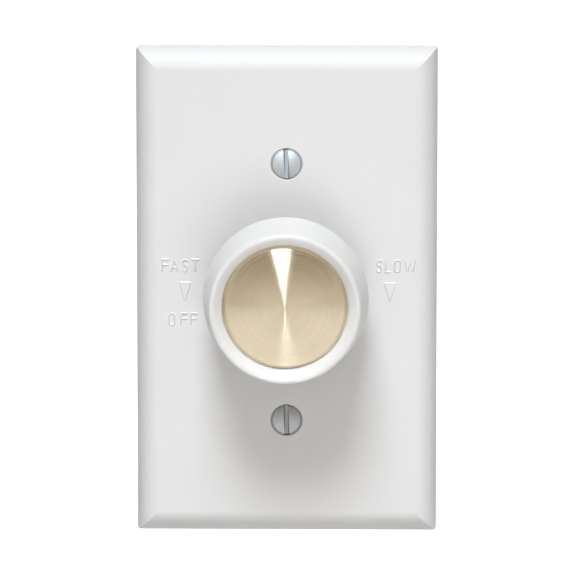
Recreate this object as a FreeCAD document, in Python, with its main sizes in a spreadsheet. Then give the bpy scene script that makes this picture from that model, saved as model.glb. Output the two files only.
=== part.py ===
import FreeCAD, Part
import math
import os
from types import SimpleNamespace

import Sketcher
from FreeCAD import Vector

# Rotary fan speed control for a one-gang wall box, in millimetres.
# The wall surface is the plane Y = 0, the room is towards -Y, and Z is up.
# The origin is the middle of the two box-mounting holes. Depths in the room are called "out".

sizes = {
    # Wall plate
    "plate_width": 69.85,
    "plate_height": 114.3,
    "plate_depth": 6.0,
    "plate_wall": 2.3,
    "plate_corner_radius": 1.1,
    "plate_edge_height": 1.7,
    "bevel_width": 3.0,
    "bevel_drop": 0.5,
    "bevel_radius": 6.0,
    "blend_width": 2.0,
    "plate_rim_wall": 1.9,
    "plate_rim_cavity": 2.4,
    "plate_cavity_margin": 4.4,
    "plate_boss_radius": 4.75,
    "plate_rib_width": 1.3,
    "plate_rib_height": 1.0,
    "shaft_hole_clearance": 0.6,
    # Oval-head plate screws
    "screw_head_radius": 3.55,
    "screw_head_dome": 0.95,
    "screw_head_sink": 0.3,
    "screw_shank_radius": 1.7,
    "screw_length": 12.7,
    "screw_slot_width": 1.15,
    "screw_slot_depth": 1.15,
    "upper_slot_tilt": 4.0,
    "lower_slot_tilt": 2.5,
    "countersink_angle": 82.0,
    "screw_hole_clearance": 0.35,
    # Knob and its insert
    "knob_stand_off": 8.0,
    "knob_length": 13.9,
    "knob_back_radius": 19.15,
    "knob_front_radius": 17.4,
    "knob_wall": 1.9,
    "knob_front_wall": 2.1,
    "knob_rim_width": 1.0,
    "knob_rim_round": 0.55,
    "knob_back_round": 0.4,
    "knob_slope_depth": 2.3,
    "knob_slope_width": 1.85,
    "knob_slope_round": 0.6,
    "knob_recess_depth": 1.3,
    "knob_bore_wall": 2.4,
    "knob_rib_width": 1.2,
    "knob_rib_set_back": 3.0,
    "hub_radius": 6.4,
    "hub_reach": 2.2,
    "insert_crown": 0.85,
    "insert_edge_width": 1.0,
    "insert_edge_drop": 0.7,
    "insert_rim": 0.15,
    "insert_gap": 0.15,
    # Strap
    "strap_end_gap": 2.05,
    "strap_side_margin": 0.4,
    "strap_ear_width": 28.0,
    "strap_thickness": 1.5,
    "strap_corner_radius": 2.0,
    "strap_ear_radius": 3.5,
    "box_hole_spacing": 83.34,
    "box_hole_radius": 2.2,
    "ground_tab_width": 8.0,
    "ground_tab_reach": 9.5,
    "ground_bend_radius": 1.0,
    "ground_screw_radius": 2.0,
    "ground_screw_length": 4.6,
    "ground_screw_gap": 1.2,
    "ground_head_radius": 3.6,
    "ground_head_flats": 6.0,
    "ground_head_height": 2.2,
    "ground_flange_height": 0.8,
    "ground_slot_width": 1.2,
    "ground_slot_depth": 1.0,
    # Housing and its screws
    "housing_width": 44.0,
    "housing_height": 55.4,
    "housing_depth": 26.5,
    "housing_screw_gap": 0.7625,
    "housing_wall": 2.0,
    "housing_floor": 2.2,
    "housing_corner_radius": 4.0,
    "housing_back_round": 1.8,
    "pillar_inset": 4.5,
    "pillar_radius": 3.3,
    "pillar_bore_depth": 12.0,
    "post_radius": 2.0,
    "post_height": 3.7,
    "lead_hole_radius": 2.0,
    "lead_collar_radius": 3.4,
    "lead_collar_height": 1.2,
    "lead_spacing": 13.0,
    "lead_inset": 7.7,
    "housing_screw_radius": 1.45,
    "housing_screw_length": 11.0,
    "housing_screw_head_radius": 2.7,
    "housing_screw_head_height": 1.5,
    # Bush, nut, washer and shaft of the control
    "bush_radius": 4.7,
    "bush_out": 9.6,
    "bush_chamfer": 0.4,
    "bush_flange_radius": 7.0,
    "bush_flange_thickness": 1.0,
    "bush_collar_radius": 5.4,
    "bush_collar_length": 1.0,
    "washer_thickness": 0.5,
    "nut_flats": 12.7,
    "nut_gap": 0.2,
    "shaft_radius": 3.0,
    "shaft_flat": 1.5,
    "shaft_flat_run": 0.6,
    "shaft_chamfer": 0.5,
    "clip_radius": 4.7,
    "clip_thickness": 0.6,
    "clip_groove_depth": 0.6,
    "clip_opening": 4.0,
    "spring_thickness": 0.35,
    "spring_width": 4.2,
    "spring_length": 8.0,
    # Can, rotor and track of the control
    "case_radius": 11.0,
    "case_wall": 0.7,
    "case_lip": 1.0,
    "stop_tab_angle": 14.0,
    "stop_tab_depth": 1.05,
    "stop_lug_angle": 45.0,
    "stop_lug_gap": 0.3,
    "stop_margin_angle": 0.5,
    "stop_tab_gap": 0.25,
    "rotor_thickness": 2.7,
    "wiper_radius": 5.5,
    "wiper_thickness": 0.3,
    "wiper_arm_width": 1.6,
    "wiper_inset": 0.6,
    "wiper_tip_length": 1.2,
    "wiper_tip_height": 0.7,
    "wafer_thickness": 1.2,
    "tongue_width": 14.0,
    "tongue_reach": 17.0,
    "terminal_pitch": 5.0,
    "terminal_edge": 1.6,
    # On and off switch behind the track
    "switch_depth": 6.0,
    "switch_wall": 1.4,
    "switch_floor": 1.5,
    "switch_rotor_radius": 7.0,
    "switch_rotor_thickness": 2.2,
    "bridge_thickness": 0.3,
    "bridge_width": 2.4,
    "bridge_tip_length": 1.1,
    "contact_thickness": 0.3,
    "ring_inner_radius": 2.4,
    "ring_outer_radius": 4.2,
    "arc_inner_radius": 4.9,
    "arc_outer_radius": 6.6,
    "arc_gap_angle": 36.0,
    # Circuit board and what stands on it
    "board_thickness": 1.6,
    "board_clearance": 0.4,
    "board_pillar_gap": 1.3,
    "leg_edge": 1.5,
    "leg_hole_radius": 0.8,
    "leg_width": 1.0,
    "leg_thickness": 0.5,
    "leg_overhang": 1.2,
    "triac_width": 10.2,
    "triac_tab_length": 6.4,
    "triac_body_length": 9.0,
    "triac_height": 4.4,
    "triac_tab_thickness": 1.3,
    "triac_side_gap": 0.5,
    "triac_leg_pitch": 2.54,
    "triac_leg_run": 3.0,
    "triac_leg_height": 2.4,
    "triac_pad_thickness": 0.25,
    "triac_pad_margin": 0.5,
    "rivet_radius": 1.55,
    "rivet_head_radius": 2.8,
    "rivet_head_height": 1.2,
    "rivet_tail_radius": 2.5,
    "rivet_tail_height": 0.9,
    "choke_z": -3.0,
    "choke_length": 22.0,
    "choke_gap": 0.8,
    "choke_core_radius": 1.8,
    "choke_flange": 1.5,
    "choke_winding_inset": 0.3,
    "snubber_z": -1.5,
    "snubber_width": 6.0,
    "snubber_length": 15.0,
    "snubber_height": 10.5,
    "timing_gap": 2.3,
    "timing_inset": 10.7,
    "timing_width": 8.0,
    "timing_length": 4.0,
    "timing_height": 7.0,
    "capacitor_round": 0.8,
    "resistor_inset": 1.7,
    "resistor_pitch": 4.0,
    "resistor_radius": 1.2,
    "resistor_waist": 0.95,
    "resistor_length": 6.3,
    "resistor_cap_length": 1.3,
    "diac_radius": 0.95,
    "diac_length": 4.0,
    "wire_radius": 0.3,
    "wire_reach": 1.4,
    "wire_bend": 0.8,
    # Clearances
    "running_clearance": 0.05,
    "fit_gap": 0.05,
    "seat_gap": 0.05,
    "hole_clearance": 0.15,
    "air_gap": 0.1,
    "rotor_gap": 0.3,
    "switch_rotor_gap": 0.5,
    "shaft_end_gap": 0.2,
    "wafer_hole_clearance": 0.3,
    "cut_margin": 2.0,
}

doc = FreeCAD.newDocument("FanSpeedControl")
sheet = doc.addObject("Spreadsheet::Sheet", "Sizes")
for row, (alias, value) in enumerate(sizes.items(), start=1):
    sheet.set(f"A{row}", alias)
    sheet.set(f"B{row}", str(value))
    sheet.setAlias(f"B{row}", alias)
doc.recompute()


class Size:
    """A number together with the sheet formula that gives it, so that a drawn size stays bound."""

    def __init__(self, value, formula):
        self.value = float(value)
        self.formula = formula

    def __add__(self, other):
        other = as_size(other)
        return Size(self.value + other.value, f"({self.formula} + {other.formula})")

    def __sub__(self, other):
        other = as_size(other)
        return Size(self.value - other.value, f"({self.formula} - {other.formula})")

    def __mul__(self, other):
        other = as_size(other)
        return Size(self.value * other.value, f"({self.formula} * {other.formula})")

    def __truediv__(self, other):
        other = as_size(other)
        return Size(self.value / other.value, f"({self.formula} / {other.formula})")

    def __neg__(self):
        return Size(-self.value, f"(0 - {self.formula})")

    def __radd__(self, other):
        return as_size(other) + self

    def __rsub__(self, other):
        return as_size(other) - self

    def __rmul__(self, other):
        return as_size(other) * self


def as_size(number):
    return number if isinstance(number, Size) else Size(number, repr(float(number)))


def root(size):
    return Size(math.sqrt(size.value), f"sqrt({size.formula})")


def tangent(degrees):
    return Size(math.tan(math.radians(degrees.value)), f"tan({degrees.formula} * 1 deg)")


def polar(radius, degrees):
    degrees = as_size(degrees)
    turn = math.radians(degrees.value)
    cosine = Size(math.cos(turn), f"cos({degrees.formula} * 1 deg)")
    sine = Size(math.sin(turn), f"sin({degrees.formula} * 1 deg)")
    return radius * cosine, radius * sine


S = SimpleNamespace(**{alias: Size(value, f"Sizes.{alias}") for alias, value in sizes.items()})


# Drawing: sketches on a body's own planes, with every point and radius bound to the sheet

def new_body(label):
    body = doc.addObject("PartDesign::Body", label)
    body.Label = label
    return body


def origin_plane(body, role):
    return [feature for feature in body.Origin.OriginFeatures if feature.Role == role][0]


def bind(thing, prop, size):
    thing.setExpression(prop, as_size(size).formula)


def new_sketch(body, name, role, right=None, up=None, off=None):
    sketch = body.newObject("Sketcher::SketchObject", name)
    sketch.AttachmentSupport = [(origin_plane(body, role), "")]
    sketch.MapMode = "FlatFace"
    for axis, size in (("x", right), ("y", up), ("z", off)):
        if size is not None:
            bind(sketch, f"AttachmentOffset.Base.{axis}", size)
    return sketch


def fix_point(sketch, geometry, point, x, y):
    for kind, axis, size in (("DistanceX", -2, x), ("DistanceY", -1, y)):
        if size.formula == "0.0":
            sketch.addConstraint(Sketcher.Constraint("PointOnObject", geometry, point, axis))
            continue
        number = sketch.addConstraint(Sketcher.Constraint(kind, -1, 1, geometry, point, size.value))
        bind(sketch, f"Constraints[{number}]", size)


def fix_radius(sketch, geometry, radius):
    number = sketch.addConstraint(Sketcher.Constraint("Radius", geometry, radius.value))
    bind(sketch, f"Constraints[{number}]", radius)


def circle(sketch, x, y, radius):
    x, y, radius = as_size(x), as_size(y), as_size(radius)
    shape = Part.Circle(Vector(x.value, y.value, 0), Vector(0, 0, 1), radius.value)
    number = sketch.addGeometry(shape, False)
    fix_point(sketch, number, 3, x, y)
    fix_radius(sketch, number, radius)


def bend(x, y, radius, turn=1, long_way=False):
    """A point reached by an arc: turn is 1 to the left, -1 to the right."""
    return x, y, as_size(radius), turn, long_way


def arc_between(start, end, radius, turn, long_way):
    middle = (start + end) * 0.5
    chord = end - start
    rise = math.sqrt(max(radius * radius - chord.Length * chord.Length / 4, 0))
    side = turn * (-1 if long_way else 1)
    centre = middle + Vector(-chord.y, chord.x, 0).normalize() * rise * side
    first, last = (start, end) if turn > 0 else (end, start)
    begin = math.atan2(first.y - centre.y, first.x - centre.x)
    finish = math.atan2(last.y - centre.y, last.x - centre.x)
    return Part.ArcOfCircle(Part.Circle(centre, Vector(0, 0, 1), radius), begin, finish)


def trace(sketch, points, closed=True):
    """An outline or open path through the points; a point made with bend is reached by an arc."""
    places = [(as_size(point[0]), as_size(point[1])) for point in points]
    spots = [Vector(x.value, y.value, 0) for x, y in places]
    ends = []
    for index, point in enumerate(points):
        if index == 0 and not closed:
            continue
        start, end = spots[index - 1], spots[index]
        if len(point) == 2:
            number = sketch.addGeometry(Part.LineSegment(start, end), False)
            ends.append((number, 1, 2))
            continue
        radius, turn, long_way = point[2:]
        number = sketch.addGeometry(arc_between(start, end, radius.value, turn, long_way), False)
        ends.append((number, 1, 2) if turn > 0 else (number, 2, 1))
    if not closed:
        fix_point(sketch, *ends[0][:2], *places.pop(0))
    for index, (number, first, last) in enumerate(ends):
        point = points[index - len(ends)]
        if closed or index + 1 < len(ends):
            after, after_first, _ = ends[(index + 1) % len(ends)]
            sketch.addConstraint(Sketcher.Constraint("Coincident", number, last, after, after_first))
        fix_point(sketch, number, last, *places[index])
        if len(point) > 2:
            fix_radius(sketch, number, point[2])


def rectangle(sketch, left, bottom, right, top):
    trace(sketch, [(left, bottom), (right, bottom), (right, top), (left, top)])


def rounded_rectangle(sketch, width, height, radius, x=0, y=0):
    x, y = as_size(x), as_size(y)
    left, right = x - width / 2, x + width / 2
    low, high = y - height / 2, y + height / 2
    trace(sketch, [
        (right - radius, low),
        bend(right, low + radius, radius),
        (right, high - radius),
        bend(right - radius, high, radius),
        (left + radius, high),
        bend(left, high - radius, radius),
        (left, low + radius),
        bend(left + radius, low, radius),
    ])


def sector(sketch, inner, outer, start, end):
    sweep = as_size(end).value - as_size(start).value
    trace(sketch, [
        polar(outer, start),
        bend(*polar(outer, end), outer, 1, sweep > 180),
        polar(inner, end),
        bend(*polar(inner, start), inner, -1, sweep > 180),
    ])


# Features: a pad or pocket towards the room follows the normal of the XZ plane

def add_feature(body, kind, sketch, ending):
    feature = body.newObject(f"PartDesign::{kind}", f"{sketch.Name}_{ending}")
    feature.Profile = sketch
    return feature


def pad(body, sketch, length, rearward=False):
    feature = add_feature(body, "Pad", sketch, "pad")
    feature.Reversed = rearward
    bind(feature, "Length", length)
    doc.recompute()
    return feature


def check_cut(feature):
    doc.recompute()
    if feature.Shape.Volume >= feature.BaseFeature.Shape.Volume - 1e-6:
        raise RuntimeError(f"{feature.Name} cuts nothing")
    return feature


def pocket(body, sketch, length, outward=False, both_ways=False):
    feature = add_feature(body, "Pocket", sketch, "pocket")
    feature.Reversed = outward
    if both_ways:
        feature.SideType = "Symmetric"
    bind(feature, "Length", length)
    return check_cut(feature)


def turn(body, sketch, axis="V_Axis"):
    feature = add_feature(body, "Revolution", sketch, "turned")
    feature.ReferenceAxis = (sketch, [axis])
    feature.Angle = 360
    doc.recompute()
    return feature


def groove(body, sketch, axis="V_Axis"):
    feature = add_feature(body, "Groove", sketch, "groove")
    feature.ReferenceAxis = (sketch, [axis])
    feature.Angle = 360
    return check_cut(feature)


def round_edges(body, name, radius, wanted):
    base = body.Tip
    names = [f"Edge{i}" for i, edge in enumerate(base.Shape.Edges, start=1) if wanted(edge)]
    if not names:
        raise RuntimeError(f"{name} found no edge")
    feature = body.newObject("PartDesign::Fillet", name)
    feature.Base = (base, names)
    bind(feature, "Radius", radius)
    doc.recompute()
    return feature


def group(label, members):
    compound = doc.addObject("Part::Compound", label)
    compound.Label = label
    compound.Links = members
    doc.recompute()
    return compound


# Places that several pieces share, measured along Y with the wall at 0

plate_face = S.plate_depth
plate_ceiling = S.plate_depth - S.plate_wall
knob_back = S.plate_depth + S.knob_stand_off
knob_front = knob_back + S.knob_length
slope_end = knob_front - S.knob_slope_depth
insert_seat = slope_end - S.knob_recess_depth
insert_radius = S.knob_front_radius - S.knob_rim_width - S.knob_slope_width - S.insert_gap
knob_ceiling = insert_seat - S.knob_front_wall
shaft_out = insert_seat - S.knob_bore_wall - S.shaft_end_gap
hub_back = knob_back - S.hub_reach
flange_front = S.washer_thickness
case_front = flange_front + S.bush_flange_thickness
bush_rear = case_front + S.bush_collar_length
clip_front = bush_rear + S.air_gap
clip_rear = clip_front + S.clip_thickness
rotor_front = clip_rear + S.rotor_gap
rotor_rear = rotor_front + S.rotor_thickness
wiper_rear = rotor_rear + S.wiper_thickness
wafer_front = wiper_rear + S.wiper_tip_height + S.air_gap
wafer_rear = wafer_front + S.wafer_thickness
switch_rear = wafer_rear + S.switch_depth
switch_floor_front = switch_rear - S.switch_floor
contact_front = switch_floor_front - S.contact_thickness
bridge_rear = contact_front - S.air_gap
case_rear = switch_rear + S.case_wall
switch_rotor_front = wafer_rear + S.switch_rotor_gap
switch_rotor_rear = switch_rotor_front + S.switch_rotor_thickness
case_bore = S.case_radius - S.case_wall
rotor_radius = case_bore - S.stop_tab_depth - S.stop_tab_gap

# The housing stands between the plate screws, at their standard spacing of 60.3,
# and the strap's body runs past its lower end by the length of the ground screw
housing_x = S.housing_width / 2
housing_z = S.housing_height / 2
inner_x = housing_x - S.housing_wall
inner_z = housing_z - S.housing_wall
screw_z = housing_z + S.housing_screw_gap + S.screw_shank_radius
strap_x = housing_x + S.strap_side_margin
strap_shoulder = housing_z + S.ground_screw_gap + S.ground_screw_length
strap_end = S.plate_height / 2 - S.plate_rim_wall - S.strap_end_gap
ground_x = strap_x - S.ground_tab_width / 2
ground_y = (S.ground_tab_reach + S.ground_bend_radius) / 2
pillar_x = housing_x - S.pillar_inset
pillar_z = housing_z - S.pillar_inset
pillars = [(x, z) for x in (pillar_x, -pillar_x) for z in (pillar_z, -pillar_z)]

# The board stands on posts and steps back round the pillars
board_rear = S.housing_depth - S.housing_floor - S.post_height
board_front = board_rear - S.board_thickness
board_x = inner_x - S.board_clearance
board_z = inner_z - S.board_clearance
board_step_x = pillar_x - S.pillar_radius - S.board_pillar_gap
board_step_z = pillar_z - S.pillar_radius - S.board_pillar_gap
post_x = (board_x + board_step_x) / 2
post_z = board_step_z - S.post_radius - S.board_clearance
leg_end = board_rear + S.leg_overhang

# The stop tab is at the bottom of the can, and the lug rests beside it at OFF
bottom_angle = 270.0
lug_angle = bottom_angle - S.stop_tab_angle / 2 - S.stop_lug_angle / 2 - S.stop_margin_angle

# The triac lies between the can and the upper end, the choke and the snubber on either side of the can
triac_front = S.triac_pad_thickness
triac_left = S.pillar_radius + S.triac_side_gap + S.triac_pad_margin - pillar_x
triac_step = triac_left + S.triac_tab_length
triac_right = triac_step + S.triac_body_length
triac_z = (S.case_radius + inner_z) / 2
rivet_x = triac_left + S.triac_tab_length / 2
triac_leg_x = triac_right + S.triac_leg_run
ring_leg_z = -(S.ring_inner_radius + S.ring_outer_radius) / 2
arc_leg_z = (S.arc_inner_radius + S.arc_outer_radius) / 2
side_x = (S.case_radius + inner_x) / 2
choke_radius = (inner_x - S.case_radius) / 2 - S.choke_gap
choke_y = board_front - choke_radius - S.air_gap
timing_x = triac_leg_x + S.timing_gap + S.timing_width / 2
timing_z = inner_z - S.timing_inset
resistor_y = board_front - S.resistor_radius - S.air_gap
diac_y = board_front - S.diac_radius - S.air_gap
resistor_leg = S.resistor_length / 2 + S.wire_reach
diac_leg = S.diac_length / 2 + S.wire_reach
resistor_x = S.leg_edge + resistor_leg - board_step_x
diac_x = board_step_x - S.leg_edge - diac_leg
lower_row = S.resistor_inset - inner_z
upper_row = lower_row + S.resistor_pitch

terminal_legs = [(S.terminal_pitch * step, S.terminal_edge - S.tongue_reach) for step in (-1, 0, 1)]
triac_legs = [(triac_leg_x, triac_z + S.triac_leg_pitch * step) for step in (-1, 0, 1)]
switch_legs = [(as_size(0), ring_leg_z), (as_size(0), arc_leg_z)]
resistor_legs = [(resistor_x + resistor_leg * side, z) for z in (lower_row, upper_row) for side in (-1, 1)]
diac_legs = [(diac_x + diac_leg * side, upper_row) for side in (-1, 1)]


def bevel_points(edge, face, flip, turn_side):
    """Half of the plate's bevel as (across, out): an arched slope that blends into the face."""
    blend = (S.blend_width * S.blend_width + S.bevel_drop * S.bevel_drop) / (S.bevel_drop * 2)
    inner = edge - S.bevel_width
    return [
        ((edge + S.cut_margin) * flip, S.plate_edge_height),
        (edge * flip, S.plate_edge_height),
        (inner * flip, face - S.bevel_drop, S.bevel_radius, turn_side, False),
        ((inner - S.blend_width) * flip, face, blend, turn_side, False),
        ((inner - S.blend_width) * flip, face + S.cut_margin),
        ((edge + S.cut_margin) * flip, face + S.cut_margin),
    ]


def make_wallplate():
    body = new_body("wallplate")
    outline = new_sketch(body, "plate_outline", "XZ_Plane")
    rounded_rectangle(outline, S.plate_width, S.plate_height, S.plate_corner_radius)
    pad(body, outline, S.plate_depth)

    sides = new_sketch(body, "plate_side_bevels", "XY_Plane")
    ends = new_sketch(body, "plate_end_bevels", "YZ_Plane")
    for flip in (1, -1):
        side_bevel = bevel_points(S.plate_width / 2, plate_face, flip, -flip)
        end_bevel = bevel_points(S.plate_height / 2, plate_face, flip, flip)
        trace(sides, [(p[0], -p[1], *p[2:]) for p in side_bevel])
        trace(ends, [(-p[1], p[0], *p[2:]) for p in end_bevel])
    pocket(body, sides, S.plate_height + S.cut_margin * 2, both_ways=True)
    pocket(body, ends, S.plate_width + S.cut_margin * 2, both_ways=True)

    for name, inset, depth in (("plate_rim_cavity", S.plate_rim_wall, S.plate_rim_cavity),
                               ("plate_cavity", S.plate_cavity_margin, plate_ceiling)):
        cavity = new_sketch(body, name, "XZ_Plane")
        wide, tall = S.plate_width - inset * 2, S.plate_height - inset * 2
        rectangle(cavity, -wide / 2, -tall / 2, wide / 2, tall / 2)
        pocket(body, cavity, depth, outward=True)

    # Bosses that sit on the strap round the two screws, and a rib through each
    boss_seat = S.strap_thickness + S.seat_gap
    bosses = new_sketch(body, "plate_bosses", "XZ_Plane", off=boss_seat)
    for side in (1, -1):
        circle(bosses, 0, screw_z * side, S.plate_boss_radius)
    pad(body, bosses, plate_face - S.plate_wall / 2 - boss_seat)
    rib_seat = plate_ceiling - S.plate_rib_height
    ribs = new_sketch(body, "plate_ribs", "XZ_Plane", off=rib_seat)
    rib_end = S.plate_width / 2 - S.plate_cavity_margin + S.plate_wall / 2
    for side in (1, -1):
        middle = screw_z * side
        rectangle(ribs, -rib_end, middle - S.plate_rib_width / 2, rib_end, middle + S.plate_rib_width / 2)
    pad(body, ribs, S.plate_rib_height + S.plate_wall / 2)

    shaft_hole = new_sketch(body, "plate_shaft_hole", "XZ_Plane")
    circle(shaft_hole, 0, 0, S.bush_radius + S.shaft_hole_clearance)
    pocket(body, shaft_hole, plate_face + S.cut_margin, outward=True)

    # Countersunk screw holes, wider at the face than the head that sinks into them
    hole = S.screw_shank_radius + S.screw_hole_clearance
    spread = tangent(S.countersink_angle / 2)
    cone_rim = S.screw_head_radius + S.fit_gap + S.screw_head_sink * spread
    cone_depth = (cone_rim - hole) / spread
    for name, side in (("upper", 1), ("lower", -1)):
        profile = new_sketch(body, f"plate_{name}_hole", "XY_Plane", off=screw_z * side)
        trace(profile, [
            (0, 0),
            (hole, 0),
            (hole, -(plate_face - cone_depth)),
            (cone_rim, -plate_face),
            (cone_rim, -(plate_face + S.cut_margin)),
            (0, -(plate_face + S.cut_margin)),
        ])
        groove(body, profile)
    return body


def make_plate_screws():
    body = new_body("plate_screws")
    rim = plate_face - S.screw_head_sink
    neck = rim - (S.screw_head_radius - S.screw_shank_radius) / tangent(S.countersink_angle / 2)
    top = rim + S.screw_head_dome
    tip = rim - S.screw_length
    dome = (S.screw_head_radius * S.screw_head_radius + S.screw_head_dome * S.screw_head_dome)
    dome = dome / (S.screw_head_dome * 2)
    for name, side, tilt in (("upper", 1, S.upper_slot_tilt), ("lower", -1, S.lower_slot_tilt)):
        profile = new_sketch(body, f"{name}_screw", "XY_Plane", off=screw_z * side)
        trace(profile, [
            (0, -tip),
            (0, -top),
            bend(S.screw_head_radius, -rim, dome),
            (S.screw_shank_radius, -neck),
            (S.screw_shank_radius, -tip),
        ])
        turn(body, profile)
        slot = new_sketch(body, f"{name}_slot", "XZ_Plane", up=screw_z * side, off=top)
        bind(slot, "AttachmentOffset.Rotation.Angle", tilt)
        reach = S.screw_head_radius + S.cut_margin
        rectangle(slot, -S.screw_slot_width / 2, -reach, S.screw_slot_width / 2, reach)
        pocket(body, slot, S.screw_slot_depth)
    return body


def make_knob():
    body = new_body("knob")
    recess = insert_radius + S.insert_gap
    taper = (S.knob_back_radius - S.knob_front_radius) / (S.knob_length - S.knob_rim_round)
    inner_top = S.knob_front_radius + taper * (knob_front - S.knob_rim_round - knob_ceiling) - S.knob_wall
    rim_inside = S.knob_front_radius - S.knob_rim_width
    slope_length = root(S.knob_slope_width * S.knob_slope_width + S.knob_slope_depth * S.knob_slope_depth)
    trim = S.knob_slope_round * (slope_length - S.knob_slope_width) / S.knob_slope_depth
    trim_across, trim_down = trim * S.knob_slope_width / slope_length, trim * S.knob_slope_depth / slope_length
    profile = new_sketch(body, "knob_profile", "XY_Plane")
    trace(profile, [
        (0, -insert_seat),
        (recess, -insert_seat),
        (recess, -slope_end),
        (rim_inside - trim_across, -(knob_front - trim_down)),
        bend(rim_inside + trim, -knob_front, S.knob_slope_round),
        (S.knob_front_radius - S.knob_rim_round, -knob_front),
        bend(S.knob_front_radius, -(knob_front - S.knob_rim_round), S.knob_rim_round),
        (S.knob_back_radius, -(knob_back + S.knob_back_round)),
        bend(S.knob_back_radius - S.knob_back_round, -knob_back, S.knob_back_round),
        (S.knob_back_radius - S.knob_wall, -knob_back),
        (inner_top, -knob_ceiling),
        (S.hub_radius, -knob_ceiling),
        (S.hub_radius, -hub_back),
        (0, -hub_back),
    ])
    turn(body, profile)

    # Six ribs between the hub and the skirt
    rib_seat = knob_back + S.knob_rib_set_back
    rib = new_sketch(body, "knob_rib", "XZ_Plane", off=rib_seat)
    rib_end = inner_top + S.knob_wall / 2
    rectangle(rib, S.hub_radius - S.knob_wall / 2, -S.knob_rib_width / 2, rib_end, S.knob_rib_width / 2)
    first_rib = pad(body, rib, knob_ceiling - rib_seat + S.knob_front_wall / 2)
    ribs = body.newObject("PartDesign::PolarPattern", "knob_ribs")
    ribs.Originals = [first_rib]
    ribs.Axis = (origin_plane(body, "Y_Axis"), [""])
    ribs.Angle = 360
    ribs.Occurrences = 6
    body.Tip = ribs
    doc.recompute()

    bore = new_sketch(body, "knob_bore", "XZ_Plane", off=hub_back)
    radius = S.shaft_radius + S.fit_gap
    flat = S.shaft_flat + S.spring_thickness + S.fit_gap * 2
    half = root(radius * radius - flat * flat)
    trace(bore, [(-half, flat), bend(half, flat, radius, 1, True)])
    pocket(body, bore, shaft_out + S.shaft_end_gap - hub_back, outward=True)
    return body


def make_knob_insert():
    body = new_body("knob_insert")
    crowned = insert_radius - S.insert_edge_width
    rim = insert_seat + S.insert_rim
    shoulder = rim + S.insert_edge_drop
    dome = (crowned * crowned + S.insert_crown * S.insert_crown) / (S.insert_crown * 2)

    # The rolled edge starts in line with the dome
    chord = S.insert_edge_width * S.insert_edge_width + S.insert_edge_drop * S.insert_edge_drop
    fall = (S.insert_edge_drop * (dome - S.insert_crown) - S.insert_edge_width * crowned) / dome
    profile = new_sketch(body, "insert_profile", "XY_Plane")
    trace(profile, [
        (0, -insert_seat),
        (0, -(shoulder + S.insert_crown)),
        bend(crowned, -shoulder, dome),
        bend(insert_radius, -rim, chord / (fall * 2)),
        (insert_radius, -insert_seat),
    ])
    turn(body, profile)
    return body


def make_knob_spring():
    body = new_body("knob_spring")
    leaf = new_sketch(body, "spring_leaf", "XZ_Plane", off=shaft_out - S.spring_length)
    low = S.shaft_flat + S.fit_gap
    rectangle(leaf, -S.spring_width / 2, low, S.spring_width / 2, low + S.spring_thickness)
    pad(body, leaf, S.spring_length)
    return body


def make_mounting_strap():
    body = new_body("mounting_strap")
    wide, ear = strap_x, S.strap_ear_width / 2
    shoulder, top = strap_shoulder, strap_end
    corner, ear_corner = S.strap_corner_radius, S.strap_ear_radius
    # One quarter as (across, up), from the side edge round to the end of the ear
    quarter = [
        (wide, shoulder - corner),
        (wide - corner, shoulder, corner),
        (ear, shoulder),
        (ear, top - ear_corner),
        (ear - ear_corner, top, ear_corner),
    ]
    points = []
    for across, up in ((1, 1), (-1, 1), (-1, -1), (1, -1)):
        forward = across * up > 0
        steps = quarter if forward else quarter[::-1]
        for index, step in enumerate(steps):
            place = (step[0] * across, step[1] * up)
            radius = step[2:] if forward else steps[index - 1][2:] if index else ()
            points.append(bend(*place, radius[0]) if radius else place)
    outline = new_sketch(body, "strap_outline", "XZ_Plane")
    trace(outline, points)
    pad(body, outline, S.strap_thickness)

    holes = new_sketch(body, "strap_holes", "XZ_Plane")
    for side in (1, -1):
        circle(holes, 0, S.box_hole_spacing / 2 * side, S.box_hole_radius)
        circle(holes, 0, screw_z * side, S.screw_shank_radius + S.fit_gap)
    circle(holes, 0, 0, S.bush_radius + S.hole_clearance)
    for x, z in pillars:
        circle(holes, x, z, S.housing_screw_radius + S.hole_clearance)
    circle(holes, rivet_x, triac_z, S.rivet_radius + S.fit_gap)
    pocket(body, holes, S.strap_thickness + S.cut_margin, outward=True)

    # Ground tab: a corner of the strap bent back at a right angle
    inner, outer = S.ground_bend_radius, S.ground_bend_radius + S.strap_thickness
    tab_left = wide - S.ground_tab_width
    notch = new_sketch(body, "ground_notch", "XZ_Plane")
    rectangle(notch, tab_left, -shoulder - S.cut_margin, wide + S.cut_margin, outer - shoulder)
    pocket(body, notch, S.strap_thickness + S.cut_margin, outward=True)
    tab = new_sketch(body, "ground_tab", "YZ_Plane", off=tab_left)
    trace(tab, [
        (-S.strap_thickness, outer - shoulder),
        bend(inner, -shoulder, outer),
        (S.ground_tab_reach, -shoulder),
        (S.ground_tab_reach, S.strap_thickness - shoulder),
        (inner, S.strap_thickness - shoulder),
        bend(0, outer - shoulder, inner, -1),
    ])
    pad(body, tab, S.ground_tab_width)
    tapped = new_sketch(body, "ground_hole", "XY_Plane", off=-shoulder)
    circle(tapped, ground_x, ground_y, S.ground_screw_radius + S.fit_gap)
    pocket(body, tapped, S.strap_thickness + S.cut_margin, outward=True)
    return body


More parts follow.
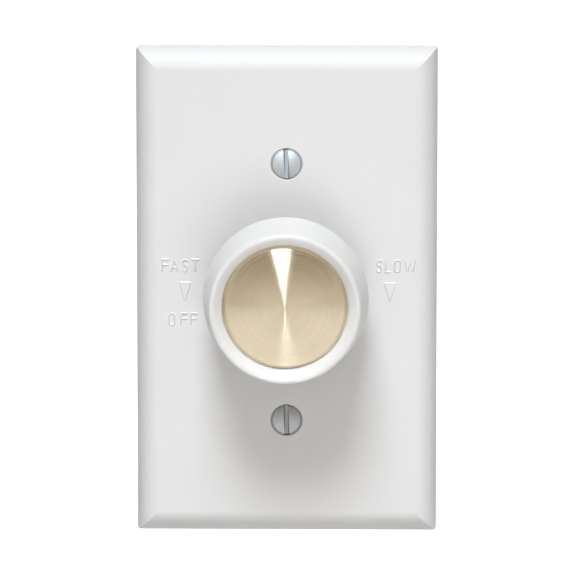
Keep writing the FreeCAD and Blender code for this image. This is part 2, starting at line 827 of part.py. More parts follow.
def make_ground_screw():
    body = new_body("ground_screw")
    seat = -strap_shoulder
    shank = new_sketch(body, "ground_shank", "XY_Plane", right=ground_x, up=ground_y, off=seat)
    circle(shank, 0, 0, S.ground_screw_radius)
    pad(body, shank, S.ground_screw_length)
    flange = new_sketch(body, "ground_flange", "XY_Plane", right=ground_x, up=ground_y, off=seat)
    circle(flange, 0, 0, S.ground_head_radius)
    pad(body, flange, S.ground_flange_height, rearward=True)
    head = new_sketch(body, "ground_head", "XY_Plane", right=ground_x, up=ground_y, off=seat)
    hexagon(head, S.ground_head_flats)
    pad(body, head, S.ground_head_height + S.ground_flange_height, rearward=True)
    end = seat - S.ground_head_height - S.ground_flange_height
    slot = new_sketch(body, "ground_slot", "XY_Plane", right=ground_x, up=ground_y, off=end)
    reach = S.ground_head_radius + S.cut_margin
    rectangle(slot, -reach, -S.ground_slot_width / 2, reach, S.ground_slot_width / 2)
    pocket(body, slot, S.ground_slot_depth, outward=True)
    return body


def hexagon(sketch, flats):
    corner = flats / math.sqrt(3)
    trace(sketch, [polar(corner, 60 * step) if step % 3 else (corner * (1 - step * 2 / 3), 0)
                   for step in range(6)])


def make_housing():
    body = new_body("housing")
    outline = new_sketch(body, "housing_outline", "XZ_Plane")
    rounded_rectangle(outline, S.housing_width, S.housing_height, S.housing_corner_radius)
    pad(body, outline, S.housing_depth, rearward=True)
    rear = sizes["housing_depth"]
    round_edges(body, "housing_back_edge", S.housing_back_round,
                lambda edge: abs(edge.BoundBox.YMin - rear) < 1e-6)

    floor = S.housing_depth - S.housing_floor
    cavity = new_sketch(body, "housing_cavity", "XZ_Plane")
    rounded_rectangle(cavity, inner_x * 2, inner_z * 2, S.housing_corner_radius - S.housing_wall)
    pocket(body, cavity, floor)

    columns = new_sketch(body, "housing_pillars", "XZ_Plane")
    for x, z in pillars:
        circle(columns, x, z, S.pillar_radius)
    pad(body, columns, S.housing_depth - S.housing_floor / 2, rearward=True)
    bores = new_sketch(body, "pillar_bores", "XZ_Plane")
    for x, z in pillars:
        circle(bores, x, z, S.housing_screw_radius + S.fit_gap)
    pocket(body, bores, S.pillar_bore_depth)

    posts = new_sketch(body, "board_posts", "XZ_Plane", off=-board_rear)
    for x in (1, -1):
        for z in (1, -1):
            circle(posts, post_x * x, post_z * z, S.post_radius)
    pad(body, posts, S.post_height + S.housing_floor / 2, rearward=True)

    collars = new_sketch(body, "lead_collars", "XZ_Plane", off=-(floor + S.housing_floor / 2))
    exits = new_sketch(body, "lead_exits", "XZ_Plane", off=-(floor - S.cut_margin))
    lead_z = S.lead_inset - housing_z
    for side in (1, -1):
        circle(collars, S.lead_spacing / 2 * side, lead_z, S.lead_collar_radius)
        circle(exits, S.lead_spacing / 2 * side, lead_z, S.lead_hole_radius)
    pad(body, collars, S.housing_floor / 2 + S.lead_collar_height, rearward=True)
    pocket(body, exits, S.housing_floor + S.lead_collar_height + S.cut_margin * 2)
    return body


def make_housing_screws():
    body = new_body("housing_screws")
    seat = S.strap_thickness
    head = seat + S.housing_screw_head_height
    tip = S.housing_screw_length - seat
    crown = S.housing_screw_head_radius / 2
    for number, (x, z) in enumerate(pillars, start=1):
        profile = new_sketch(body, f"housing_screw_{number}", "XY_Plane", right=x, off=z)
        trace(profile, [
            (0, tip),
            (0, -head),
            (S.housing_screw_head_radius - crown, -head),
            bend(S.housing_screw_head_radius, -seat, S.housing_screw_head_height),
            (S.housing_screw_radius, -seat),
            (S.housing_screw_radius, tip),
        ])
        turn(body, profile)
    return body


def make_pot_bushing():
    body = new_body("pot_bushing")
    bore = S.shaft_radius + S.running_clearance
    profile = new_sketch(body, "bush_profile", "XY_Plane")
    trace(profile, [
        (bore, -S.bush_out),
        (S.bush_radius - S.bush_chamfer, -S.bush_out),
        (S.bush_radius, -(S.bush_out - S.bush_chamfer)),
        (S.bush_radius, flange_front),
        (S.bush_flange_radius, flange_front),
        (S.bush_flange_radius, case_front),
        (S.bush_collar_radius, case_front),
        (S.bush_collar_radius, bush_rear),
        (bore, bush_rear),
    ])
    turn(body, profile)
    return body


def make_pot_nut():
    body = new_body("pot_nut")
    flats = new_sketch(body, "nut_flats_outline", "XZ_Plane", off=S.strap_thickness)
    hexagon(flats, S.nut_flats)
    circle(flats, 0, 0, S.bush_radius + S.fit_gap)
    pad(body, flats, plate_ceiling - S.nut_gap - S.strap_thickness)
    return body


def make_pot_washer():
    body = new_body("pot_washer")
    ring = new_sketch(body, "washer_ring", "XZ_Plane")
    circle(ring, 0, 0, S.bush_flange_radius)
    circle(ring, 0, 0, S.bush_radius + S.hole_clearance)
    pad(body, ring, S.washer_thickness, rearward=True)
    return body


def make_pot_shaft():
    body = new_body("pot_shaft")
    groove_radius = S.shaft_radius - S.clip_groove_depth
    groove_front, groove_rear = clip_front - S.fit_gap, clip_rear + S.fit_gap
    profile = new_sketch(body, "shaft_profile", "XY_Plane")
    trace(profile, [
        (0, -shaft_out),
        (S.shaft_radius - S.shaft_chamfer, -shaft_out),
        (S.shaft_radius, -(shaft_out - S.shaft_chamfer)),
        (S.shaft_radius, groove_front),
        (groove_radius, groove_front),
        (groove_radius, groove_rear),
        (S.shaft_radius, groove_rear),
        (S.shaft_radius, switch_rotor_rear),
        (0, switch_rotor_rear),
    ])
    turn(body, profile)
    flat = new_sketch(body, "shaft_flat_cut", "XZ_Plane", off=shaft_out)
    reach = S.shaft_radius + S.cut_margin
    rectangle(flat, -reach, S.shaft_flat, reach, reach)
    pocket(body, flat, shaft_out - hub_back + S.shaft_flat_run)
    return body


def make_shaft_clip():
    body = new_body("shaft_clip")
    ring = new_sketch(body, "clip_ring", "XZ_Plane", off=-clip_front)
    circle(ring, 0, 0, S.clip_radius)
    circle(ring, 0, 0, S.shaft_radius - S.clip_groove_depth + S.fit_gap)
    pad(body, ring, S.clip_thickness, rearward=True)
    opening = new_sketch(body, "clip_opening_cut", "XZ_Plane", off=-clip_front)
    reach = S.clip_radius + S.cut_margin
    rectangle(opening, -S.clip_opening / 2, 0, S.clip_opening / 2, reach)
    pocket(body, opening, S.clip_thickness)
    return body


def make_pot_case():
    body = new_body("pot_case")
    collar_hole = S.bush_collar_radius + S.fit_gap
    lip = case_bore - S.case_lip
    profile = new_sketch(body, "case_profile", "XY_Plane")
    trace(profile, [
        (collar_hole, case_front),
        (S.case_radius, case_front),
        (S.case_radius, case_rear),
        (lip, case_rear),
        (lip, switch_rear),
        (case_bore, switch_rear),
        (case_bore, case_front + S.case_wall),
        (collar_hole, case_front + S.case_wall),
    ])
    turn(body, profile)
    # Stop tab pressed inwards at the bottom of the can
    tab = new_sketch(body, "stop_tab", "XZ_Plane", off=-(case_front + S.case_wall / 2))
    half = S.stop_tab_angle / 2
    sector(tab, case_bore - S.stop_tab_depth, case_bore + S.case_wall / 2,
           bottom_angle - half, bottom_angle + half)
    pad(body, tab, rotor_rear - case_front - S.case_wall / 2, rearward=True)
    notch = new_sketch(body, "tongue_notch", "XZ_Plane", off=-(wafer_front - S.fit_gap))
    half_width = S.tongue_width / 2 + S.hole_clearance
    rectangle(notch, -half_width, -(S.case_radius + S.cut_margin), half_width, -rotor_radius / 2)
    pocket(body, notch, S.wafer_thickness + S.fit_gap * 2)
    return body


def make_pot_rotor():
    body = new_body("pot_rotor")
    disc = new_sketch(body, "rotor_disc", "XZ_Plane", off=-rotor_front)
    circle(disc, 0, 0, rotor_radius)
    circle(disc, 0, 0, S.shaft_radius + S.fit_gap)
    pad(body, disc, S.rotor_thickness, rearward=True)
    lug = new_sketch(body, "stop_lug", "XZ_Plane", off=-rotor_front)
    half = S.stop_lug_angle / 2
    sector(lug, rotor_radius - S.case_wall, case_bore - S.stop_lug_gap, lug_angle - half, lug_angle + half)
    pad(body, lug, S.rotor_thickness, rearward=True)
    return body


def make_pot_wiper():
    body = new_body("pot_wiper")
    ring = new_sketch(body, "wiper_ring", "XZ_Plane", off=-rotor_rear)
    circle(ring, 0, 0, S.wiper_radius)
    circle(ring, 0, 0, S.shaft_radius + S.hole_clearance)
    pad(body, ring, S.wiper_thickness, rearward=True)
    arms = new_sketch(body, "wiper_arms", "XZ_Plane", off=-rotor_rear)
    tips = new_sketch(body, "wiper_tips", "XZ_Plane", off=-rotor_rear)
    half = S.wiper_arm_width / 2
    start = S.wiper_radius - S.wiper_arm_width / 2
    reach = rotor_radius - S.wiper_inset
    for side in (1, -1):
        rectangle(arms, start * side, -half, reach * side, half)
        rectangle(tips, (reach - S.wiper_tip_length) * side, -half, reach * side, half)
    pad(body, arms, S.wiper_thickness, rearward=True)
    pad(body, tips, S.wiper_thickness + S.wiper_tip_height, rearward=True)
    return body


def make_pot_wafer():
    body = new_body("pot_wafer")
    radius = case_bore - S.air_gap
    disc = new_sketch(body, "wafer_disc", "XZ_Plane", off=-wafer_front)
    circle(disc, 0, 0, radius)
    pad(body, disc, S.wafer_thickness, rearward=True)
    tongue = new_sketch(body, "wafer_tongue", "XZ_Plane", off=-wafer_front)
    rectangle(tongue, -S.tongue_width / 2, -S.tongue_reach, S.tongue_width / 2, -radius / 2)
    pad(body, tongue, S.wafer_thickness, rearward=True)
    hole = new_sketch(body, "wafer_hole", "XZ_Plane", off=-wafer_front)
    circle(hole, 0, 0, S.shaft_radius + S.wafer_hole_clearance)
    pocket(body, hole, S.wafer_thickness)
    return body


def leg_block(label, x, z, front):
    """A flat terminal leg that runs back through the circuit board."""
    block = doc.addObject("Part::Box", label)
    block.Label = label
    bind(block, "Length", S.leg_width)
    bind(block, "Width", leg_end - front)
    bind(block, "Height", S.leg_thickness)
    bind(block, "Placement.Base.x", x - S.leg_width / 2)
    bind(block, "Placement.Base.y", front)
    bind(block, "Placement.Base.z", z - S.leg_thickness / 2)
    return block


def make_pot_terminals():
    legs = [leg_block(f"pot_terminal_{number}", x, z, wafer_rear)
            for number, (x, z) in enumerate(terminal_legs, start=1)]
    return group("pot_terminals", legs)


def make_switch_base():
    body = new_body("switch_base")
    radius = case_bore - S.air_gap
    profile = new_sketch(body, "switch_base_profile", "XY_Plane")
    trace(profile, [
        (0, switch_floor_front),
        (radius - S.switch_wall, switch_floor_front),
        (radius - S.switch_wall, wafer_rear),
        (radius, wafer_rear),
        (radius, switch_rear),
        (0, switch_rear),
    ])
    turn(body, profile)
    slots = new_sketch(body, "switch_leg_slots", "XZ_Plane", off=-switch_floor_front)
    wide = S.leg_width / 2 + S.fit_gap
    thick = S.leg_thickness / 2 + S.fit_gap
    for x, z in switch_legs:
        rectangle(slots, x - wide, z - thick, x + wide, z + thick)
    pocket(body, slots, S.switch_floor)
    return body


def make_switch_rotor():
    body = new_body("switch_rotor")
    disc = new_sketch(body, "switch_rotor_disc", "XZ_Plane", off=-switch_rotor_front)
    circle(disc, 0, 0, S.switch_rotor_radius)
    circle(disc, 0, 0, S.shaft_radius + S.fit_gap)
    pad(body, disc, S.switch_rotor_thickness, rearward=True)
    return body


def make_switch_bridge():
    """A bar that joins the ring to the arc; its outer tip stands in the arc's gap at OFF."""
    body = new_body("switch_bridge")
    half = S.bridge_width / 2
    ring_middle = (S.ring_inner_radius + S.ring_outer_radius) / 2
    arc_middle = (S.arc_inner_radius + S.arc_outer_radius) / 2
    tip = S.bridge_tip_length / 2
    bar = new_sketch(body, "bridge_bar", "XZ_Plane", off=-switch_rotor_rear)
    tips = new_sketch(body, "bridge_tips", "XZ_Plane", off=-switch_rotor_rear)
    for sketch in (bar, tips):
        bind(sketch, "AttachmentOffset.Rotation.Angle", lug_angle)
    rectangle(bar, ring_middle - tip, -half, arc_middle + tip, half)
    for middle in (ring_middle, arc_middle):
        rectangle(tips, middle - tip, -half, middle + tip, half)
    pad(body, bar, S.bridge_thickness, rearward=True)
    pad(body, tips, bridge_rear - switch_rotor_rear, rearward=True)
    return body


def make_switch_contacts():
    ring = new_body("switch_ring")
    ring_face = new_sketch(ring, "contact_ring", "XZ_Plane", off=-contact_front)
    circle(ring_face, 0, 0, S.ring_outer_radius)
    circle(ring_face, 0, 0, S.ring_inner_radius)
    pad(ring, ring_face, S.contact_thickness, rearward=True)
    arc = new_body("switch_arc")
    arc_face = new_sketch(arc, "contact_arc", "XZ_Plane", off=-contact_front)
    gap = S.arc_gap_angle / 2
    sector(arc_face, S.arc_inner_radius, S.arc_outer_radius, lug_angle + gap, lug_angle + 360 - gap)
    pad(arc, arc_face, S.contact_thickness, rearward=True)
    for body, (x, z) in zip((ring, arc), switch_legs):
        leg = new_sketch(body, f"{body.Name}_leg", "XZ_Plane", off=-contact_front)
        wide, thick = S.leg_width / 2, S.leg_thickness / 2
        rectangle(leg, x - wide, z - thick, x + wide, z + thick)
        pad(body, leg, leg_end - contact_front, rearward=True)
    return group("switch_contacts", [ring, arc])


def make_circuit_board():
    body = new_body("circuit_board")
    half_x, half_z = board_x, board_z
    in_x, in_z = board_step_x, board_step_z
    outline = new_sketch(body, "board_outline", "XZ_Plane", off=-board_front)
    trace(outline, [
        (half_x, -in_z), (half_x, in_z), (in_x, in_z), (in_x, half_z),
        (-in_x, half_z), (-in_x, in_z), (-half_x, in_z), (-half_x, -in_z),
        (-in_x, -in_z), (-in_x, -half_z), (in_x, -half_z), (in_x, -in_z),
    ])
    for x, z in terminal_legs + triac_legs + switch_legs + resistor_legs + diac_legs:
        circle(outline, x, z, S.leg_hole_radius)
    pad(body, outline, S.board_thickness, rearward=True)
    return body


def make_triac():
    body = new_body("triac")
    half = S.triac_width / 2
    low, high = triac_z - half, triac_z + half
    tab = new_sketch(body, "triac_tab", "XZ_Plane", off=-triac_front)
    rectangle(tab, triac_left, low, triac_right, high)
    circle(tab, rivet_x, triac_z, S.rivet_radius + S.fit_gap)
    pad(body, tab, S.triac_tab_thickness, rearward=True)
    case = new_sketch(body, "triac_case", "XZ_Plane", off=-triac_front)
    rectangle(case, triac_step, low, triac_right, high)
    pad(body, case, S.triac_height, rearward=True)
    legs = new_sketch(body, "triac_leg_runs", "XZ_Plane", off=-S.triac_leg_height)
    ends = new_sketch(body, "triac_leg_ends", "XZ_Plane", off=-S.triac_leg_height)
    thick = S.leg_thickness / 2
    for x, z in triac_legs:
        rectangle(legs, triac_right - S.leg_width, z - thick, x + thick, z + thick)
        rectangle(ends, x - thick, z - thick, x + thick, z + thick)
    pad(body, legs, S.leg_thickness, rearward=True)
    pad(body, ends, leg_end - S.triac_leg_height, rearward=True)
    return body


def make_triac_pad():
    body = new_body("triac_pad")
    half = S.triac_width / 2 + S.triac_pad_margin
    sheet_outline = new_sketch(body, "triac_pad_outline", "XZ_Plane")
    rectangle(sheet_outline, triac_left - S.triac_pad_margin, triac_z - half,
              triac_right + S.triac_pad_margin, triac_z + half)
    circle(sheet_outline, rivet_x, triac_z, S.rivet_radius + S.fit_gap)
    pad(body, sheet_outline, S.triac_pad_thickness, rearward=True)
    return body


def make_triac_rivet():
    body = new_body("triac_rivet")
    seat = triac_front + S.triac_tab_thickness
    profile = new_sketch(body, "rivet_profile", "XY_Plane", right=rivet_x, off=triac_z)
    dome = S.rivet_head_radius * S.rivet_head_radius + S.rivet_head_height * S.rivet_head_height
    dome = dome / (S.rivet_head_height * 2)
    trace(profile, [
        (0, seat + S.rivet_tail_height),
        (0, -(S.strap_thickness + S.rivet_head_height)),
        bend(S.rivet_head_radius, -S.strap_thickness, dome),
        (S.rivet_radius, -S.strap_thickness),
        (S.rivet_radius, seat),
        (S.rivet_tail_radius, seat),
        (S.rivet_tail_radius, seat + S.rivet_tail_height),
    ])
    turn(body, profile)
    return body


def make_choke_core():
    body = new_body("choke_core")
    half = S.choke_length / 2
    neck = half - S.choke_flange
    profile = new_sketch(body, "choke_profile", "XZ_Plane", right=-side_x, up=S.choke_z, off=-choke_y)
    trace(profile, [
        (0, -half), (choke_radius, -half), (choke_radius, -neck), (S.choke_core_radius, -neck),
        (S.choke_core_radius, neck), (choke_radius, neck), (choke_radius, half), (0, half),
    ])
    turn(body, profile)
    return body


def make_choke_winding():
    body = new_body("choke_winding")
    half = S.choke_length / 2 - S.choke_flange - S.fit_gap
    profile = new_sketch(body, "winding_profile", "XZ_Plane", right=-side_x, up=S.choke_z, off=-choke_y)
    rectangle(profile, S.choke_core_radius + S.fit_gap, -half, choke_radius - S.choke_winding_inset, half)
    turn(body, profile)
    return body


def make_capacitor(label, x, z, width, length, height):
    body = new_body(label)
    outline = new_sketch(body, f"{label}_outline", "XZ_Plane", off=-board_front)
    rounded_rectangle(outline, width, length, S.capacitor_round, x, z)
    pad(body, outline, height)
    return body


def axial_part(body, name, x, y, z, profile, leg):
    """A turned part that lies along X, on one wire with both ends bent back through the board."""
    section = new_sketch(body, f"{name}_section", "XY_Plane", right=x, up=y, off=z)
    trace(section, profile)
    turn(body, section, "H_Axis")
    path = new_sketch(body, f"{name}_path", "XY_Plane", right=x, up=y, off=z)
    drop = leg_end - y
    trace(path, [
        (-leg, drop),
        (-leg, S.wire_bend),
        bend(S.wire_bend - leg, 0, S.wire_bend),
        (leg - S.wire_bend, 0),
        bend(leg, S.wire_bend, S.wire_bend),
        (leg, drop),
    ], closed=False)
    end = new_sketch(body, f"{name}_wire", "XZ_Plane", off=-leg_end)
    circle(end, x - leg, z, S.wire_radius)
    wire = add_feature(body, "AdditivePipe", end, "pipe")
    wire.Spine = (path, [f"Edge{number + 1}" for number in range(path.GeometryCount)])
    doc.recompute()


def make_resistors():
    body = new_body("resistors")
    half = S.resistor_length / 2
    cap = half - S.resistor_cap_length
    profile = [
        (-half, 0), (-half, S.resistor_radius), (-cap, S.resistor_radius), (-cap, S.resistor_waist),
        (cap, S.resistor_waist), (cap, S.resistor_radius), (half, S.resistor_radius), (half, 0),
    ]
    for number, z in enumerate((upper_row, lower_row), start=1):
        axial_part(body, f"resistor_{number}", resistor_x, resistor_y, z, profile, resistor_leg)
    return body


def make_diac():
    body = new_body("diac")
    half = S.diac_length / 2
    profile = [(-half, 0), (-half, S.diac_radius), (half, S.diac_radius), (half, 0)]
    axial_part(body, "diac", diac_x, diac_y, upper_row, profile, diac_leg)
    return body


nodes = [
    make_wallplate(),
    make_plate_screws(),
    make_knob(),
    make_knob_insert(),
    make_knob_spring(),
    make_mounting_strap(),
    make_ground_screw(),
    make_housing(),
    make_housing_screws(),
    make_pot_bushing(),
    make_pot_nut(),
    make_pot_washer(),
    make_pot_shaft(),
    make_shaft_clip(),
    make_pot_case(),
    make_pot_rotor(),
    make_pot_wiper(),
    make_pot_wafer(),
    make_pot_terminals(),
    make_switch_base(),
    make_switch_rotor(),
    make_switch_bridge(),
    make_switch_contacts(),
    make_circuit_board(),
    make_triac(),
    make_triac_pad(),
    make_triac_rivet(),
    make_choke_core(),
    make_choke_winding(),
    make_capacitor("snubber_capacitor", side_x, S.snubber_z, S.snubber_width, S.snubber_length,
                   S.snubber_height),
    make_capacitor("timing_capacitor", timing_x, timing_z, S.timing_width, S.timing_length,
                   S.timing_height),
    make_resistors(),
    make_diac(),
]

# Check the whole document before anything is written
doc.recompute()
for thing in doc.Objects:
    if "Invalid" in thing.State or "Error" in thing.State:
        raise RuntimeError(f"{thing.Name} failed: {thing.State}")
for node in nodes:
    if node.Shape.isNull() or not node.Shape.isValid() or not node.Shape.Solids:
        raise RuntimeError(f"{node.Label} has no sound solid")

os.makedirs("parts", exist_ok=True)
for node in nodes:
    node.Shape.exportStep(f"parts/{node.Label}.step")
    print(node.Label, len(node.Shape.Solids), round(node.Shape.Volume, 2))
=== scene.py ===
import math

import bmesh
import bpy
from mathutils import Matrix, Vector


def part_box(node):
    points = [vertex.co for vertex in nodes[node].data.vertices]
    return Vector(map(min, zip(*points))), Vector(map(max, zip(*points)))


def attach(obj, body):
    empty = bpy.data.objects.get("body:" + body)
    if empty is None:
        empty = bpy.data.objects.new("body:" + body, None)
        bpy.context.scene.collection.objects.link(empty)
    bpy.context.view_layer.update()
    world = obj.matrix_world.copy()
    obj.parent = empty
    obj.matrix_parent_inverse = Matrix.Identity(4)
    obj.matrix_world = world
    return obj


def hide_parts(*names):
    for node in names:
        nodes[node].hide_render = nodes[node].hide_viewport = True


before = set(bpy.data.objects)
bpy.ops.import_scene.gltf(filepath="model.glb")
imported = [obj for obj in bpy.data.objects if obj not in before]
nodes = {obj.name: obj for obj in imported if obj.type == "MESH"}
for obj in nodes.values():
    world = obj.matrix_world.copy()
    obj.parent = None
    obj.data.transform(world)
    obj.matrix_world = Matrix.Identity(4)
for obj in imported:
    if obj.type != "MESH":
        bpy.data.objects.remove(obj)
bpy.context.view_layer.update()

mm = 0.001
scene = bpy.context.scene
scene.view_settings.view_transform = "Standard"
print("frame loaded:", len(nodes), "nodes")


# Node helpers: a value is either a number, a colour or another node's output

def plug(tree, socket, value):
    if isinstance(value, bpy.types.NodeSocket):
        tree.links.new(value, socket)
    else:
        socket.default_value = value


def mathNode(tree, operation, *values):
    node = tree.nodes.new("ShaderNodeMath")
    node.operation = operation
    for socket, value in zip(node.inputs, values):
        plug(tree, socket, value)
    return node.outputs[0]


def weightedSum(tree, first, firstShare, second, secondShare):
    return mathNode(tree, "ADD", mathNode(tree, "MULTIPLY", first, firstShare),
                    mathNode(tree, "MULTIPLY", second, secondShare))


def vectorNode(tree, operation, *values):
    node = tree.nodes.new("ShaderNodeVectorMath")
    node.operation = operation
    for socket, value in zip(node.inputs, values):
        plug(tree, socket, value)
    return node.outputs["Value" if operation == "LENGTH" else "Vector"]


def scaledVector(tree, vector, factor):
    node = tree.nodes.new("ShaderNodeVectorMath")
    node.operation = "SCALE"
    plug(tree, node.inputs[0], vector)
    plug(tree, node.inputs["Scale"], factor)
    return node.outputs["Vector"]


def splitVector(tree, vector):
    node = tree.nodes.new("ShaderNodeSeparateXYZ")
    plug(tree, node.inputs[0], vector)
    return node.outputs


def mixColour(tree, factor, first, second):
    node = tree.nodes.new("ShaderNodeMix")
    node.data_type = "RGBA"
    sockets = node.inputs[0], node.inputs[6], node.inputs[7]   # the ones that belong to colours
    for socket, value in zip(sockets, (factor, first, second)):
        plug(tree, socket, value)
    return node.outputs[2]


def mapRange(tree, value, toLow, toHigh, fromLow=0.0, fromHigh=1.0):
    node = tree.nodes.new("ShaderNodeMapRange")
    for socket, number in zip(node.inputs, (value, fromLow, fromHigh, toLow, toHigh)):
        plug(tree, socket, number)
    return node.outputs[0]


def noise(tree, vector, scale, detail):
    node = tree.nodes.new("ShaderNodeTexNoise")
    plug(tree, node.inputs["Vector"], vector)
    plug(tree, node.inputs["Scale"], scale)
    node.inputs["Detail"].default_value = detail
    return node.outputs["Fac"]


def ringNoise(tree, reach, size, detail):  # the same all the way round, uneven along a radius
    node = tree.nodes.new("ShaderNodeTexNoise")
    node.noise_dimensions = "1D"
    plug(tree, node.inputs["W"], mathNode(tree, "DIVIDE", reach, size))
    node.inputs["Scale"].default_value = 1.0
    node.inputs["Detail"].default_value = detail
    return node.outputs["Fac"]


def newGroup(name, inputs, outputs):
    group = bpy.data.node_groups.new(name, "ShaderNodeTree")
    for socketName, kind, default in inputs:
        socket = group.interface.new_socket(name=socketName, in_out="INPUT", socket_type=kind)
        socket.default_value = default
    for socketName, kind in outputs:
        group.interface.new_socket(name=socketName, in_out="OUTPUT", socket_type=kind)
    return group, group.nodes.new("NodeGroupInput"), group.nodes.new("NodeGroupOutput")


def objectPlace(tree):
    return tree.nodes.new("ShaderNodeTexCoord").outputs["Object"]


# Effects that several finishes share

moulded = {
    "coarseDetail": 3.0,
    "coarseShare": 0.7,
    "fineTimes": 2.7,            # fine grains across a coarse one
    "fineDetail": 1.0,
    "fineShare": 0.3,
    "driftDetail": 3.0,
    "roughSpread": 0.05,         # how far the drift takes the roughness, up and down
    "plain": {"ior": 1.5, "glowThrough": 0.0, "glowReach": 1 * mm},   # unless a finish says otherwise
}


def makeMouldedGrain():  # spark-eroded mould texture with a slow drift of tone
    group, given, made = newGroup(
        "mouldedGrain",
        [("Grain Size", "NodeSocketFloat", 0.3 * mm), ("Drift Size", "NodeSocketFloat", 12 * mm)],
        [("Relief", "NodeSocketFloat"), ("Drift", "NodeSocketFloat")],
    )
    place = objectPlace(group)
    coarseScale = mathNode(group, "DIVIDE", 1.0, given.outputs["Grain Size"])
    coarse = noise(group, place, coarseScale, moulded["coarseDetail"])
    fineScale = mathNode(group, "DIVIDE", moulded["fineTimes"], given.outputs["Grain Size"])
    fine = noise(group, place, fineScale, moulded["fineDetail"])
    relief = weightedSum(group, coarse, moulded["coarseShare"], fine, moulded["fineShare"])
    driftScale = mathNode(group, "DIVIDE", 1.0, given.outputs["Drift Size"])
    drift = noise(group, place, driftScale, moulded["driftDetail"])
    plug(group, made.inputs["Relief"], relief)
    plug(group, made.inputs["Drift"], drift)
    return group


drawn = {
    "lineDetail": 4.0,
    "streakTimes": 0.23,         # streaks across a fine line
    "streakDetail": 3.0,
    "streakShare": 0.6,          # of a metal's tone, with the clouds
    "cloudScale": 160.0,         # clouds in a metre
    "cloudDetail": 4.0,
    "cloudShare": 0.4,
    "roughSpread": 0.07,         # how far the tone takes the roughness, up and down
}


def makeDrawnLines():  # fine lines along the way that a metal was rolled, drawn or turned
    group, given, made = newGroup(
        "drawnLines",
        [("Stretch", "NodeSocketVector", (1, 1, 1)), ("Line Size", "NodeSocketFloat", 0.1 * mm)],
        [("Relief", "NodeSocketFloat"), ("Streak", "NodeSocketFloat"), ("Cloud", "NodeSocketFloat")],
    )
    place = objectPlace(group)
    along = vectorNode(group, "MULTIPLY", place, given.outputs["Stretch"])
    lineScale = mathNode(group, "DIVIDE", 1.0, given.outputs["Line Size"])
    streakScale = mathNode(group, "MULTIPLY", lineScale, drawn["streakTimes"])
    plug(group, made.inputs["Relief"], noise(group, along, lineScale, drawn["lineDetail"]))
    plug(group, made.inputs["Streak"], noise(group, along, streakScale, drawn["streakDetail"]))
    plug(group, made.inputs["Cloud"], noise(group, place, drawn["cloudScale"], drawn["cloudDetail"]))
    return group


# mask for the painted shade round the plate screws and at the edges of their heads
def makeScrewEdge():  # 0 within the inner radius of the nearer plate screw, 1 beyond the outer one
    group, given, made = newGroup(
        "screwEdge",
        [("Level", "NodeSocketFloat", 30 * mm), ("Inner", "NodeSocketFloat", 3 * mm),
         ("Outer", "NodeSocketFloat", 4 * mm)],
        [("Beyond", "NodeSocketFloat")],
    )
    place = splitVector(group, objectPlace(group))
    height = mathNode(group, "ABSOLUTE", place["Z"])
    offset = group.nodes.new("ShaderNodeCombineXYZ")
    plug(group, offset.inputs["X"], place["X"])
    plug(group, offset.inputs["Z"], mathNode(group, "SUBTRACT", height, given.outputs["Level"]))
    reach = vectorNode(group, "LENGTH", offset.outputs[0])
    beyond = mapRange(group, reach, 0.0, 1.0, given.outputs["Inner"], given.outputs["Outer"])
    plug(group, made.inputs["Beyond"], beyond)
    return group


mouldedGrain = makeMouldedGrain()
drawnLines = makeDrawnLines()
screwEdge = makeScrewEdge()
plateScrewLevel = 30.1625 * mm   # of the plate screws, above and below the middle


# Finishes

def newFinish(name):
    material = bpy.data.materials.new(name)
    material.use_nodes = True
    tree = material.node_tree
    shader = tree.nodes["Principled BSDF"]
    return material, tree, shader


def placeGroup(tree, group, **values):
    node = tree.nodes.new("ShaderNodeGroup")
    node.node_tree = group
    for name, value in values.items():
        node.inputs[name.replace("_", " ")].default_value = value
    return node.outputs


def addBump(tree, shader, height, strength, depth):
    bump = tree.nodes.new("ShaderNodeBump")
    bump.inputs["Strength"].default_value = strength
    bump.inputs["Distance"].default_value = depth
    plug(tree, bump.inputs["Height"], height)
    plug(tree, shader.inputs["Normal"], bump.outputs[0])


def addRoughness(tree, shader, value, middle, spread):
    plug(tree, shader.inputs["Roughness"], mapRange(tree, value, middle - spread, middle + spread))


def mouldedFinish(name, ownLook):
    look = {**moulded["plain"], **ownLook}
    material, tree, shader = newFinish(name)
    skin = placeGroup(tree, mouldedGrain, Grain_Size=look["grain"], Drift_Size=look["drift"])
    colour = mixColour(tree, skin["Drift"], look["colour"], look["shade"])
    if "screwGap" in look:  # painted shade: the plate darkened in a ring round each screw's head, where the gap lies in shade
        inner, outer = look["screwGap"]
        gap = placeGroup(tree, screwEdge, Level=plateScrewLevel, Inner=inner, Outer=outer)
        colour = mixColour(tree, gap["Beyond"], look["gapShadeColour"], colour)
    plug(tree, shader.inputs["Base Color"], colour)
    addRoughness(tree, shader, skin["Drift"], look["rough"], moulded["roughSpread"])
    shader.inputs["IOR"].default_value = look["ior"]
    shader.inputs["Subsurface Weight"].default_value = look["glowThrough"]
    shader.inputs["Subsurface Radius"].default_value = (1.0, 1.0, 1.0)
    shader.inputs["Subsurface Scale"].default_value = look["glowReach"]
    addBump(tree, shader, skin["Relief"], look["bump"], look["depth"])
    return material


